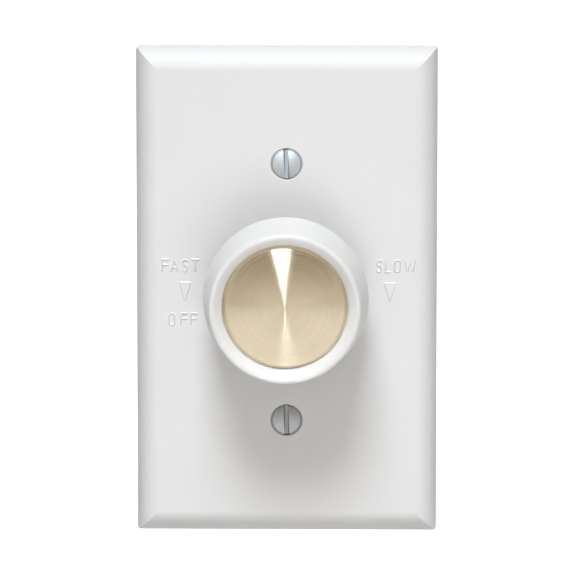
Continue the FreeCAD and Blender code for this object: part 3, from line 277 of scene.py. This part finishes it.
def metalFinish(name, look):
    material, tree, shader = newFinish(name)
    lines = placeGroup(tree, drawnLines, Stretch=look["stretch"], Line_Size=look["line"])
    tone = weightedSum(tree, lines["Streak"], drawn["streakShare"], lines["Cloud"], drawn["cloudShare"])
    colour = mixColour(tree, tone, look["colour"], look["shade"])
    if "headEdge" in look:  # painted shade: a slotted head darkened at its edge, in its slot, and more in the slot's corners
        inner, outer = look["headEdge"]
        edge = placeGroup(tree, screwEdge, Level=plateScrewLevel, Inner=inner, Outer=outer)
        colour = mixColour(tree, edge["Beyond"], colour, look["edgeShadeColour"])
        place = splitVector(tree, objectPlace(tree))
        aside = mathNode(tree, "ABSOLUTE", place["X"])
        inCorner = mathNode(tree, "COMPARE", aside, *look["cornerReach"])
        slotShadeColour = mixColour(tree, inCorner, look["slotShadeColour"], look["cornerShadeColour"])
        inSlot = mathNode(tree, "COMPARE", place["Y"], *look["slotReach"])
        colour = mixColour(tree, inSlot, colour, slotShadeColour)
    plug(tree, shader.inputs["Base Color"], colour)
    addRoughness(tree, shader, tone, look["rough"], drawn["roughSpread"])
    shader.inputs["Metallic"].default_value = 1.0
    addBump(tree, shader, lines["Relief"], look["bump"], look["depth"])
    return material


def grey(value):
    return (value, value, value, 1)


plateWhite = mouldedFinish("plateWhite", {
    "colour": (0.83, 0.83, 0.825, 1), "shade": (0.80, 0.80, 0.797, 1), "rough": 0.6,
    "grain": 0.42 * mm, "drift": 16 * mm, "bump": 0.16, "depth": 0.05 * mm, "ior": 1.42,
    # painted shade: a dark ring in the plate's colour round each screw head, standing in for the shaded gap
    "screwGap": (3.57 * mm, 3.7 * mm), "gapShadeColour": grey(0.06),
})
knobWhite = mouldedFinish("knobWhite", {
    "colour": (0.875, 0.875, 0.87, 1), "shade": (0.855, 0.855, 0.852, 1), "rough": 0.3,
    "grain": 0.6 * mm, "drift": 14 * mm, "bump": 0.05, "depth": 0.04 * mm,
    "glowThrough": 0.9, "glowReach": 4.5 * mm, "ior": 1.46,
})
housingBlack = mouldedFinish("housingBlack", {
    "colour": (0.028, 0.028, 0.03, 1), "shade": (0.042, 0.042, 0.044, 1), "rough": 0.52,
    "grain": 0.8 * mm, "drift": 9 * mm, "bump": 0.6, "depth": 0.12 * mm,
})
epoxyBlack = mouldedFinish("epoxyBlack", {
    "colour": (0.022, 0.022, 0.023, 1), "shade": (0.034, 0.034, 0.034, 1), "rough": 0.6,
    "grain": 0.2 * mm, "drift": 4 * mm, "bump": 0.25, "depth": 0.04 * mm,
})
laminateBrown = mouldedFinish("laminateBrown", {
    "colour": (0.36, 0.2, 0.1, 1), "shade": (0.27, 0.14, 0.07, 1), "rough": 0.55,
    "grain": 0.35 * mm, "drift": 2 * mm, "bump": 0.2, "depth": 0.04 * mm,
})
carrierCream = mouldedFinish("carrierCream", {
    "colour": (0.75, 0.72, 0.62, 1), "shade": (0.68, 0.64, 0.54, 1), "rough": 0.5,
    "grain": 0.4 * mm, "drift": 5 * mm, "bump": 0.12, "depth": 0.04 * mm,
})
boardGreen = mouldedFinish("boardGreen", {
    "colour": (0.06, 0.25, 0.1, 1), "shade": (0.04, 0.18, 0.07, 1), "rough": 0.38,
    "grain": 0.7 * mm, "drift": 3 * mm, "bump": 0.2, "depth": 0.03 * mm,
})
padGrey = mouldedFinish("padGrey", {
    "colour": (0.5, 0.52, 0.54, 1), "shade": (0.44, 0.46, 0.48, 1), "rough": 0.75,
    "grain": 0.25 * mm, "drift": 3 * mm, "bump": 0.3, "depth": 0.04 * mm,
})
ferriteGrey = mouldedFinish("ferriteGrey", {
    "colour": (0.1, 0.1, 0.108, 1), "shade": (0.15, 0.148, 0.15, 1), "rough": 0.62,
    "grain": 0.22 * mm, "drift": 2 * mm, "bump": 0.35, "depth": 0.05 * mm,
})
filmRed = mouldedFinish("filmRed", {
    "colour": (0.48, 0.09, 0.06, 1), "shade": (0.38, 0.065, 0.045, 1), "rough": 0.24,
    "grain": 1.2 * mm, "drift": 4 * mm, "bump": 0.15, "depth": 0.05 * mm,
})
resistorTan = mouldedFinish("resistorTan", {
    "colour": (0.66, 0.52, 0.36, 1), "shade": (0.58, 0.44, 0.29, 1), "rough": 0.4,
    "grain": 0.5 * mm, "drift": 2 * mm, "bump": 0.15, "depth": 0.03 * mm,
})
zincBright = metalFinish("zincBright", {
    "colour": (0.8, 0.81, 0.825, 1), "shade": (0.54, 0.555, 0.575, 1), "rough": 0.66,
    "stretch": (1, 1, 0.3), "line": 0.18 * mm, "bump": 0.4, "depth": 0.05 * mm,
    # painted shade: a dark head edge, a darker slot and darker slot corners, in place of the shade in these
    # recesses
    "headEdge": (3.2 * mm, 3.34 * mm), "edgeShadeColour": grey(0.1),
    "slotReach": (-5.2 * mm, 0.6 * mm),   # how deep the slot's floor lies, and how far either way counts
    "slotShadeColour": (0.62, 0.645, 0.68, 1),
    "cornerReach": (0.56 * mm, 0.19 * mm),   # the same for its corners, sideways from its middle
    "cornerShadeColour": (0.33, 0.35, 0.38, 1),
})
strapMill = metalFinish("strapMill", {
    "colour": (0.74, 0.75, 0.76, 1), "shade": (0.6, 0.61, 0.63, 1), "rough": 0.42,
    "stretch": (1, 1, 0.05), "line": 0.15 * mm, "bump": 0.25, "depth": 0.03 * mm,
})
groundGreen = metalFinish("groundGreen", {
    "colour": (0.05, 0.34, 0.12, 1), "shade": (0.03, 0.22, 0.08, 1), "rough": 0.32,
    "stretch": (1, 1, 0.4), "line": 0.2 * mm, "bump": 0.15, "depth": 0.03 * mm,
})
platedSteel = metalFinish("platedSteel", {
    "colour": (0.6, 0.61, 0.62, 1), "shade": (0.45, 0.46, 0.47, 1), "rough": 0.34,
    "stretch": (1, 0.2, 1), "line": 0.15 * mm, "bump": 0.2, "depth": 0.03 * mm,
})
turnedBrass = metalFinish("turnedBrass", {
    "colour": (0.76, 0.6, 0.3, 1), "shade": (0.6, 0.44, 0.2, 1), "rough": 0.3,
    "stretch": (0.15, 1, 0.15), "line": 0.08 * mm, "bump": 0.25, "depth": 0.03 * mm,
})
springBronze = metalFinish("springBronze", {
    "colour": (0.74, 0.5, 0.28, 1), "shade": (0.6, 0.38, 0.2, 1), "rough": 0.3,
    "stretch": (0.1, 1, 1), "line": 0.1 * mm, "bump": 0.2, "depth": 0.02 * mm,
})
copperWire = metalFinish("copperWire", {
    "colour": (0.72, 0.34, 0.17, 1), "shade": (0.5, 0.2, 0.09, 1), "rough": 0.28,
    "stretch": (0.1, 0.1, 1), "line": 0.35 * mm, "bump": 0.9, "depth": 0.12 * mm,
})


def spunGoldFinish(look):  # lathe rings tilt the surface in and out along each radius
    material, tree, shader = newFinish("spunGold")
    flat = vectorNode(tree, "MULTIPLY", objectPlace(tree), (1, 0, 1))
    reach = vectorNode(tree, "LENGTH", flat)
    ring = ringNoise(tree, reach, look["ring"], look["ringDetail"])
    lift = mathNode(tree, "SUBTRACT", ring, 0.5)
    steepness = mathNode(tree, "MULTIPLY", lift, mathNode(tree, "ABSOLUTE", lift))   # few steep rings
    slope = weightedSum(tree, steepness, look["slope"], reach, look["lean"])
    edgeShare = mapRange(tree, reach, 1.0, look["edgeShare"], *look["edge"])
    slope = mathNode(tree, "MULTIPLY", slope, edgeShare)
    toWorld = tree.nodes.new("ShaderNodeVectorTransform")
    toWorld.vector_type = "VECTOR"
    toWorld.convert_from = "OBJECT"
    toWorld.convert_to = "WORLD"
    plug(tree, toWorld.inputs[0], vectorNode(tree, "NORMALIZE", flat))
    facing = tree.nodes.new("ShaderNodeNewGeometry").outputs["Normal"]
    tilted = vectorNode(tree, "ADD", facing, scaledVector(tree, toWorld.outputs[0], slope))
    plug(tree, shader.inputs["Normal"], vectorNode(tree, "NORMALIZE", tilted))
    band = ringNoise(tree, reach, look["band"], look["bandDetail"])
    plug(tree, shader.inputs["Base Color"], mixColour(tree, band, look["colour"], look["shade"]))
    addRoughness(tree, shader, band, look["rough"], look["roughSpread"])
    shader.inputs["Metallic"].default_value = 1.0
    shader.inputs["Anisotropic"].default_value = 1.0
    plug(tree, shader.inputs["Tangent"], toWorld.outputs[0])
    return material


spunGold = spunGoldFinish({
    "colour": (0.95, 0.83, 0.63, 1), "shade": (0.88, 0.76, 0.56, 1), "rough": 0.21, "roughSpread": 0.03,
    "ring": 0.012 * mm, "ringDetail": 3.0, "slope": 11.0,   # fine rings and how steep they are
    "band": 0.4 * mm, "bandDetail": 4.0,   # broad rings of tone
    "lean": 14.0,   # how much further than the dome the rings lean outwards, for a metre of radius
    "edge": (13.5 * mm, 13.65 * mm), "edgeShare": 0.1,   # the sloping edge is cut smooth
})

finishes = {
    "wallplate": plateWhite, "knob": knobWhite, "knob_insert": spunGold, "plate_screws": zincBright,
    "mounting_strap": strapMill, "triac_rivet": strapMill, "ground_screw": groundGreen,
    "housing": housingBlack, "housing_screws": platedSteel, "pot_washer": platedSteel,
    "pot_case": platedSteel, "knob_spring": platedSteel, "shaft_clip": platedSteel,
    "pot_bushing": turnedBrass, "pot_nut": turnedBrass, "pot_shaft": turnedBrass,
    "pot_wafer": laminateBrown, "switch_base": laminateBrown, "pot_terminals": springBronze,
    "switch_contacts": springBronze, "pot_wiper": springBronze, "switch_bridge": springBronze,
    "circuit_board": boardGreen, "triac": epoxyBlack, "triac_pad": padGrey,
    "choke_core": ferriteGrey, "choke_winding": copperWire, "snubber_capacitor": filmRed,
    "timing_capacitor": filmRed, "diac": filmRed, "resistors": resistorTan,
    "pot_rotor": carrierCream, "switch_rotor": carrierCream,
}
for name, finish in finishes.items():
    nodes[name].material_slots[0].material = finish
print("finishes:", len(bpy.data.materials), "for", len(finishes), "nodes")


def addPiece(name, mesh, finish):  # the mesh is a bmesh, which is used up
    bmesh.ops.recalc_face_normals(mesh, faces=mesh.faces)
    data = bpy.data.meshes.new(name)
    mesh.to_mesh(data)
    mesh.free()
    data.materials.append(finish)
    piece = bpy.data.objects.new(name, data)
    scene.collection.objects.link(piece)
    return piece


# The knob's spun disc, turned in one piece with even rings, so its shine runs true to the middle

disc = {
    "segments": 128,
    "domeRings": 28,
    "edgeRings": 8,
    "shoulder": 13.55 * mm,      # radius where the dome rolls over into the sloping edge
    "shoulderDrop": 0.85 * mm,   # how far the shoulder lies behind the middle
    "roll": 0.15 * mm,           # radius of that roll
    "sharpAngle": 25,            # degrees between faces, from which an edge is sharp
}


def discProfile(low, high):  # (radius, depth) from the first ring of the dome to the seat
    radius, front, seat = high.x, low.y, high.y
    domeRadius = (disc["shoulder"] ** 2 + disc["shoulderDrop"] ** 2) / (2 * disc["shoulderDrop"])
    fall = math.asin(disc["shoulder"] / domeRadius)
    profile = []
    for i in range(1, disc["domeRings"] + 1):
        turn = fall * i / disc["domeRings"]
        profile.append((domeRadius * math.sin(turn), front + domeRadius * (1 - math.cos(turn))))
    start = profile[-1]
    steep = math.atan2(seat - start[1], radius - start[0])
    for i in range(1, disc["edgeRings"] + 1):
        turn = fall + (steep - fall) * i / disc["edgeRings"]
        profile.append((start[0] + disc["roll"] * (math.sin(turn) - math.sin(fall)),
                        start[1] + disc["roll"] * (math.cos(fall) - math.cos(turn))))
    profile.append((radius, seat))
    return profile, front, seat


def turnDisc(name):
    profile, front, seat = discProfile(*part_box("knob_insert"))
    mesh = bmesh.new()
    rings = []
    for radius, depth in profile:
        ring = []
        for i in range(disc["segments"]):
            spin = 2 * math.pi * i / disc["segments"]
            ring.append(mesh.verts.new((radius * math.cos(spin), depth, radius * math.sin(spin))))
        rings.append(ring)
    middleFront = mesh.verts.new((0, front, 0))
    middleBack = mesh.verts.new((0, seat, 0))
    for i in range(disc["segments"]):
        j = (i + 1) % disc["segments"]
        mesh.faces.new((middleFront, rings[0][i], rings[0][j]))
        mesh.faces.new((middleBack, rings[-1][j], rings[-1][i]))
        for inner, outer in zip(rings, rings[1:]):
            mesh.faces.new((inner[i], outer[i], outer[j], inner[j]))
    for face in mesh.faces:
        face.smooth = True
    piece = addPiece(name, mesh, spunGold)
    piece.data.set_sharp_from_angle(angle=math.radians(disc["sharpAngle"]))
    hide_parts("knob_insert")
    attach(piece, "dial")


turnDisc("spunDisc")
print("disc turned")


# Raised marks on the face of the plate

marks = {
    "letterHeight": 2.75 * mm,   # along the middle of a stroke
    "strokeRadius": 0.38 * mm,   # from the middle of a stroke to its ridge
    "strokeSink": 0.1 * mm,      # how far the middle of a stroke lies under the face
    "arcSteps": 8,
    "words": {                   # the level of each word, and its letters with the middle of their boxes
        "wordFast": (6.35 * mm, (("F", -28.1 * mm), ("A", -26.05 * mm),
                                 ("S", -23.55 * mm), ("T", -21.15 * mm))),
        "wordSlow": (6.35 * mm, (("S", 21.5 * mm), ("L", 23.56 * mm),
                                 ("O", 25.7 * mm), ("W", 28.65 * mm))),
        "wordOff": (-6.32 * mm, (("O", -26.6 * mm), ("F", -23.75 * mm), ("F", -21.5 * mm))),
    },
    "arrows": {"arrowFast": -23.55 * mm, "arrowSlow": 24.0 * mm},   # the middle of each
    "arrowTop": 2.55 * mm,
    "arrowTip": -2.72 * mm,
    "arrowWidth": 3.2 * mm,
    "arrowHeight": 0.24 * mm,
    "arrowBevel": 0.3 * mm,
    "arrowBevelSteps": 4,
}
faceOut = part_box("wallplate")[0].y


def arcPoints(centre, radius, startDegrees, endDegrees):
    points = []
    for i in range(marks["arcSteps"] + 1):
        turn = math.radians(startDegrees + (endDegrees - startDegrees) * i / marks["arcSteps"])
        points.append((centre[0] + radius[0] * math.cos(turn), centre[1] + radius[1] * math.sin(turn)))
    return points


curveOfS = (arcPoints((0.2, 0.76), (0.2, 0.24), 25, 270)
            + arcPoints((0.2, 0.26), (0.2, 0.26), 90, -155)[1:])
curveOfO = (arcPoints((0.23, 0.74), (0.23, 0.26), 0, 180)
            + arcPoints((0.23, 0.26), (0.23, 0.26), 180, 360) + [(0.46, 0.74)])
letterShapes = {   # the width of each letter, and its strokes in a box one high
    "F": (0.52, [[(0, 0), (0, 1)], [(-0.04, 1), (0.52, 1)], [(0, 0.54), (0.46, 0.54)]]),
    "A": (0.56, [[(0, 0), (0.28, 1)], [(0.28, 1), (0.56, 0)], [(0.1, 0.34), (0.46, 0.34)]]),
    "S": (0.4, [curveOfS]),
    "T": (0.64, [[(0, 1), (0.64, 1)], [(0.32, 1), (0.32, 0)]]),
    "O": (0.46, [curveOfO]),
    "L": (0.42, [[(0, 1), (0, 0)], [(-0.04, 0), (0.42, 0)]]),
    "W": (0.84, [[(0, 1), (0.21, 0)], [(0.21, 0), (0.42, 0.85)],
                 [(0.42, 0.85), (0.63, 0)], [(0.63, 0), (0.84, 1)]]),
}


def raiseWord(name, level, letters):
    curve = bpy.data.curves.new(name, "CURVE")
    curve.dimensions = "3D"
    curve.bevel_depth = marks["strokeRadius"]
    curve.bevel_resolution = 0   # four flat sides, with a ridge straight out
    curve.use_fill_caps = True
    high = marks["letterHeight"]
    for letter, middle in letters:
        width, strokes = letterShapes[letter]
        for stroke in strokes:
            spline = curve.splines.new("POLY")
            spline.points.add(len(stroke) - 1)
            spline.use_smooth = False
            for point, (x, z) in zip(spline.points, stroke):
                point.co = (middle + (x - width / 2) * high, faceOut + marks["strokeSink"],
                            level + (z - 0.5) * high, 1)
    curve.materials.append(plateWhite)
    word = bpy.data.objects.new(name, curve)
    scene.collection.objects.link(word)
    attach(word, "base")


def raiseArrow(name, middle):  # a solid wedge that points down, with rounded edges
    mesh = bmesh.new()
    half = marks["arrowWidth"] / 2
    outline = [(-half, marks["arrowTop"]), (half, marks["arrowTop"]), (0, marks["arrowTip"])]
    root = [mesh.verts.new((middle + x, faceOut + marks["arrowBevel"], z)) for x, z in outline]
    crown = [mesh.verts.new((middle + x, faceOut - marks["arrowHeight"], z)) for x, z in outline]
    mesh.faces.new(crown)
    mesh.faces.new(root[::-1])
    for i in range(3):
        j = (i + 1) % 3
        mesh.faces.new((root[i], root[j], crown[j], crown[i]))
    crownEdges = [edge for edge in mesh.edges if all(v in crown for v in edge.verts)]
    bmesh.ops.bevel(mesh, geom=crownEdges, offset=marks["arrowBevel"], segments=marks["arrowBevelSteps"],
                    profile=0.5, affect="EDGES")
    arrow = addPiece(name, mesh, plateWhite)
    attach(arrow, "base")


for name, (level, letters) in marks["words"].items():
    raiseWord(name, level, letters)
for name, middle in marks["arrows"].items():
    raiseArrow(name, middle)
print("marks raised on the plate")


# Rolled threads where a bush or screw stands clear of its hole

threads = {
    "stepsPerTurn": 36,
    "pitch": 0.79 * mm,
    "crest": 0.24,               # flat width of the crest, as a share of the pitch
    "root": 0.86,                # width at the foot, as a share of the pitch
    "sink": 0.05 * mm,           # how far the foot goes into the bush or screw
    "bush": (4.7 * mm, 0.16 * mm),         # radius under the thread, and the thread's depth
    "plateScrew": (1.7 * mm, 0.14 * mm),
    "groundScrew": (2.0 * mm, 0.16 * mm),
    "nutGap": 0.2 * mm,          # from the nut to the thread on the bush
    "bushEnd": 0.3 * mm,         # plain end of the bush
    "strapGap": 0.1 * mm,        # from the back of the strap to the thread on a plate screw
    "screwEnd": 0.2 * mm,        # plain end of a screw
    "groundStart": 2.8 * mm,     # from the ground screw's end to the start of its thread
}


def windThread(name, start, end, radius, depth, slot, finish):
    axis = (end - start).normalized()
    length = (end - start).length
    across = axis.orthogonal().normalized()
    aside = axis.cross(across)
    steps, pitch = threads["stepsPerTurn"], threads["pitch"]
    crest, root = threads["crest"], threads["root"]
    count = int(length / pitch * steps)
    mesh = bmesh.new()
    sections = []
    for i in range(count + 1):
        spin = 2 * math.pi * i / steps
        out = across * math.cos(spin) + aside * math.sin(spin)
        fade = min(1, 2 * i / steps, 2 * (count - i) / steps)   # half a turn of run-out at each end
        section = []
        for share, raised in ((-root, False), (-crest, True), (crest, True), (root, False)):
            along = min(max(pitch * (i / steps + share / 2), 0), length)
            reach = radius + depth * fade if raised else radius - threads["sink"]
            section.append(mesh.verts.new(start + axis * along + out * reach))
        sections.append(section)
    for before, after in zip(sections, sections[1:]):
        for j in range(4):
            k = (j + 1) % 4
            mesh.faces.new((before[j], before[k], after[k], after[j]))
    mesh.faces.new(sections[0][::-1])
    mesh.faces.new(sections[-1])
    thread = addPiece(name, mesh, finish)
    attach(thread, "base")


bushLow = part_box("pot_bushing")[0]
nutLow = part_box("pot_nut")[0]
windThread("bushThread", Vector((0, nutLow.y - threads["nutGap"], 0)),
           Vector((0, bushLow.y + threads["bushEnd"], 0)), *threads["bush"], "bush_brass", turnedBrass)
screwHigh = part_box("plate_screws")[1]
for name, level in (("upperScrewThread", plateScrewLevel), ("lowerScrewThread", -plateScrewLevel)):
    windThread(name, Vector((0, threads["strapGap"], level)),
               Vector((0, screwHigh.y - threads["screwEnd"], level)),
               *threads["plateScrew"], "zinc_screw", zincBright)
groundLow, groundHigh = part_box("ground_screw")
groundAxis = (groundLow + groundHigh) / 2
windThread("groundThread", Vector((groundAxis.x, groundAxis.y, groundHigh.z - threads["groundStart"])),
           Vector((groundAxis.x, groundAxis.y, groundHigh.z - threads["screwEnd"])),
           *threads["groundScrew"], "ground_green", groundGreen)
print("threads wound")


# Light, floor and camera

studio = {
    "fill": (0.415, 0.385, 0.362),   # what the room in front gives to matt surfaces
    "fillBehind": 0.15,          # the share of it that comes from behind the wall plate
    "fillTurn": (-0.8, 0.15),    # where it starts to fall and has fallen, as y of the direction
    "keyDistance": 2.0,
    "keyTilt": 58,               # degrees above the line straight out from the wall
    "keyAside": -0.113,
    "keySize": (0.7, 0.7),
    "keyPower": 33.0,
    "keyColour": (0.965, 1.0, 1.04),
    "shineSize": (0.59, 1.5),    # the same lamp as gloss and metal show it, with its tall reflector
    "shinePower": 64.0,
    "shineColour": (0.87, 1.0, 1.08),
    "fills": {                   # place, size, power and colour of lamps that metal doesn't show
        "sideLight": ((0.8, -0.16, 0.05), (0.4, 0.4), 0.4, (1, 1, 1)),
        "lowLight": ((0.05, -0.4, -0.21), (0.25, 0.25), 0.56, (1.03, 0.995, 0.965)),
        "rearLight": ((0.3, 1.5, 0.6), (0.8, 0.8), 12.0, (1, 1, 1)),
    },
    "roomGlow": (0.145, 0.094, 0.024, 1),   # the dim warm room that metal shows above the floor
    "roomHalfWidth": 6,
    "roomLine": (                # y, z and paleness, from under the object over the far wall to the ceiling
        (0.3, -0.249, 0.85), (-0.32, -0.249, 0.85), (-0.65, -0.249, 0.87), (-0.93, -0.249, 0.81),
        (-1.4, -0.249, 0.72), (-1.6, -0.249, 0.7), (-1.6, -0.08, 0.66), (-1.6, 0.017, 0.62),
        (-1.6, 0.14, 0.51), (-1.6, 0.3, 0.25), (-1.6, 0.42, 0.11), (-1.6, 0.58, 0.05),
        (-1.6, 0.91, 0.03), (-1.6, 2.4, 0.0), (0.6, 2.4, 0.0),
    ),
    "roomDimLeft": 0.4,          # paleness left at the room's sides
    "roomDimRight": 0.52,
    "roomDimReach": (0.25, 1.2),   # where it starts to fall and has fallen, from the middle
    "floorLevel": -0.25,
    "floorSize": 8.0,
    "floorGrey": 0.45,
    "floorRough": 0.9,
    "floorGlow": (0.75, 1.0),    # near the object, where the shadow falls, and further off
    "floorNear": (0.25, 0.8),
}


def addSoftbox(name, place, size, power, colour):  # faces the middle of the object
    lamp = bpy.data.lights.new(name, "AREA")
    lamp.shape = "RECTANGLE"
    lamp.size, lamp.size_y = size
    lamp.energy = power
    lamp.color = colour
    box = bpy.data.objects.new(name, lamp)
    scene.collection.objects.link(box)
    box.location = place
    box.rotation_euler = (-Vector(place)).to_track_quat("-Z", "Y").to_euler()
    return box


tilt = math.radians(studio["keyTilt"])
keyOut = studio["keyDistance"] * math.cos(tilt)
keyUp = studio["keyDistance"] * math.sin(tilt)
keyPlace = (studio["keyAside"], -keyOut, keyUp)
keyLight = addSoftbox("keyLight", keyPlace, studio["keySize"], studio["keyPower"], studio["keyColour"])
keyLight.visible_glossy = False
shineLight = addSoftbox("shineLight", keyPlace, studio["shineSize"], studio["shinePower"],
                        studio["shineColour"])
shineLight.visible_diffuse = False
for name, (place, size, power, colour) in studio["fills"].items():
    fillLight = addSoftbox(name, place, size, power, colour)
    fillLight.visible_glossy = False


def seenWhite(tree):  # 1 for rays that show the background: to the camera, off metal, through clear things
    path = tree.nodes.new("ShaderNodeLightPath").outputs
    seen = mathNode(tree, "MAXIMUM", path["Is Camera Ray"], path["Is Glossy Ray"])
    return mathNode(tree, "MAXIMUM", seen, path["Is Transmission Ray"])


world = bpy.data.worlds.new("studio")
scene.world = world
world.use_nodes = True
worldTree = world.node_tree
outward = splitVector(worldTree, worldTree.nodes.new("ShaderNodeTexCoord").outputs["Generated"])
inFront = mapRange(worldTree, outward["Y"], 1.0, studio["fillBehind"], *studio["fillTurn"])
fill = scaledVector(worldTree, studio["fill"], inFront)
worldColour = mixColour(worldTree, seenWhite(worldTree), fill, grey(1.0))
plug(worldTree, worldTree.nodes["Background"].inputs["Color"], worldColour)


def addSheet(name, half, line):  # a sheet as wide as twice half, along a line of (y, z) points
    data = bpy.data.meshes.new(name)
    points = [(side * half, y, z) for y, z in line for side in (-1, 1)]
    faces = [(i, i + 1, i + 3, i + 2) for i in range(0, len(points) - 2, 2)]
    data.from_pydata(points, [], faces)
    sheet = bpy.data.objects.new(name, data)
    scene.collection.objects.link(sheet)
    return sheet


floorHalf, floorLevel = studio["floorSize"] / 2, studio["floorLevel"]
floor = addSheet("floor", floorHalf, [(-floorHalf, floorLevel), (floorHalf, floorLevel)])
floorFinish, floorTree, floorShader = newFinish("floorWhite")
floorShader.inputs["Base Color"].default_value = grey(studio["floorGrey"])
floorShader.inputs["Roughness"].default_value = studio["floorRough"]
floorShader.inputs["Specular IOR Level"].default_value = 0.0
floorShader.inputs["Emission Color"].default_value = grey(1.0)
floorPlace = vectorNode(floorTree, "MULTIPLY", objectPlace(floorTree), (1, 1, 0))
floorReach = vectorNode(floorTree, "LENGTH", floorPlace)
floorGlow = mapRange(floorTree, floorReach, *studio["floorGlow"], *studio["floorNear"])
plug(floorTree, floorShader.inputs["Emission Strength"],
     mathNode(floorTree, "MULTIPLY", seenWhite(floorTree), floorGlow))
floor.data.materials.append(floorFinish)

# The dim room behind the lamps, which only reflections show
room = addSheet("room", studio["roomHalfWidth"], [(y, z) for y, z, pale in studio["roomLine"]])
pales = [pale for y, z, pale in studio["roomLine"] for side in (-1, 1)]
room.data.attributes.new("pale", "FLOAT", "POINT").data.foreach_set("value", pales)
room.visible_camera = False
room.visible_diffuse = False
room.visible_shadow = False
roomFinish, roomTree, roomShader = newFinish("roomDim")
roomShader.inputs["Base Color"].default_value = grey(0.0)
roomShader.inputs["Specular IOR Level"].default_value = 0.0
roomPale = roomTree.nodes.new("ShaderNodeAttribute")
roomPale.attribute_name = "pale"
roomAcross = splitVector(roomTree, objectPlace(roomTree))["X"]
near, far = studio["roomDimReach"]
leftDim = mapRange(roomTree, roomAcross, studio["roomDimLeft"], 1.0, -far, -near)
rightDim = mapRange(roomTree, roomAcross, 1.0, studio["roomDimRight"], near, far)
sidesDim = mathNode(roomTree, "MULTIPLY", leftDim, rightDim)
paleness = mathNode(roomTree, "MULTIPLY", roomPale.outputs["Fac"], sidesDim)
roomColour = mixColour(roomTree, paleness, studio["roomGlow"], grey(1.0))
plug(roomTree, roomShader.inputs["Emission Color"], roomColour)
roomShader.inputs["Emission Strength"].default_value = 1.0
room.data.materials.append(roomFinish)

photoView = {
    "distance": 1.5,
    "rise": 10.2,                # degrees above the horizon
    "turn": 1.1,                 # degrees to the right
    "frameSide": 576,            # pixels
    "scale": 4.29,               # pixels for a millimetre at the wall
    "wallMiddle": (287.0, 288.0),   # where the middle of the wall plane falls in the picture
    "sensorWidth": 36,
    "clipStart": 0.1,
}
cameraData = bpy.data.cameras.new("camera")
camera = bpy.data.objects.new("camera", cameraData)
scene.collection.objects.link(camera)
pixel = mm / photoView["scale"]   # at the wall
cameraData.sensor_width = photoView["sensorWidth"]
cameraData.lens = photoView["sensorWidth"] * photoView["distance"] / (photoView["frameSide"] * pixel)
cameraData.clip_start = photoView["clipStart"]
rise, turn = math.radians(photoView["rise"]), math.radians(photoView["turn"])
back = Vector((math.sin(turn) * math.cos(rise), -math.cos(turn) * math.cos(rise), math.sin(rise)))
camera.rotation_euler = (-back).to_track_quat("-Z", "Y").to_euler()
right = Vector((math.cos(turn), math.sin(turn), 0))
up = right.cross(-back)
offRight = (photoView["wallMiddle"][0] - photoView["frameSide"] / 2) * pixel
offDown = (photoView["wallMiddle"][1] - photoView["frameSide"] / 2) * pixel
camera.location = back * photoView["distance"] - right * offRight + up * offDown
scene.camera = camera
print("camera, lights and floor placed")
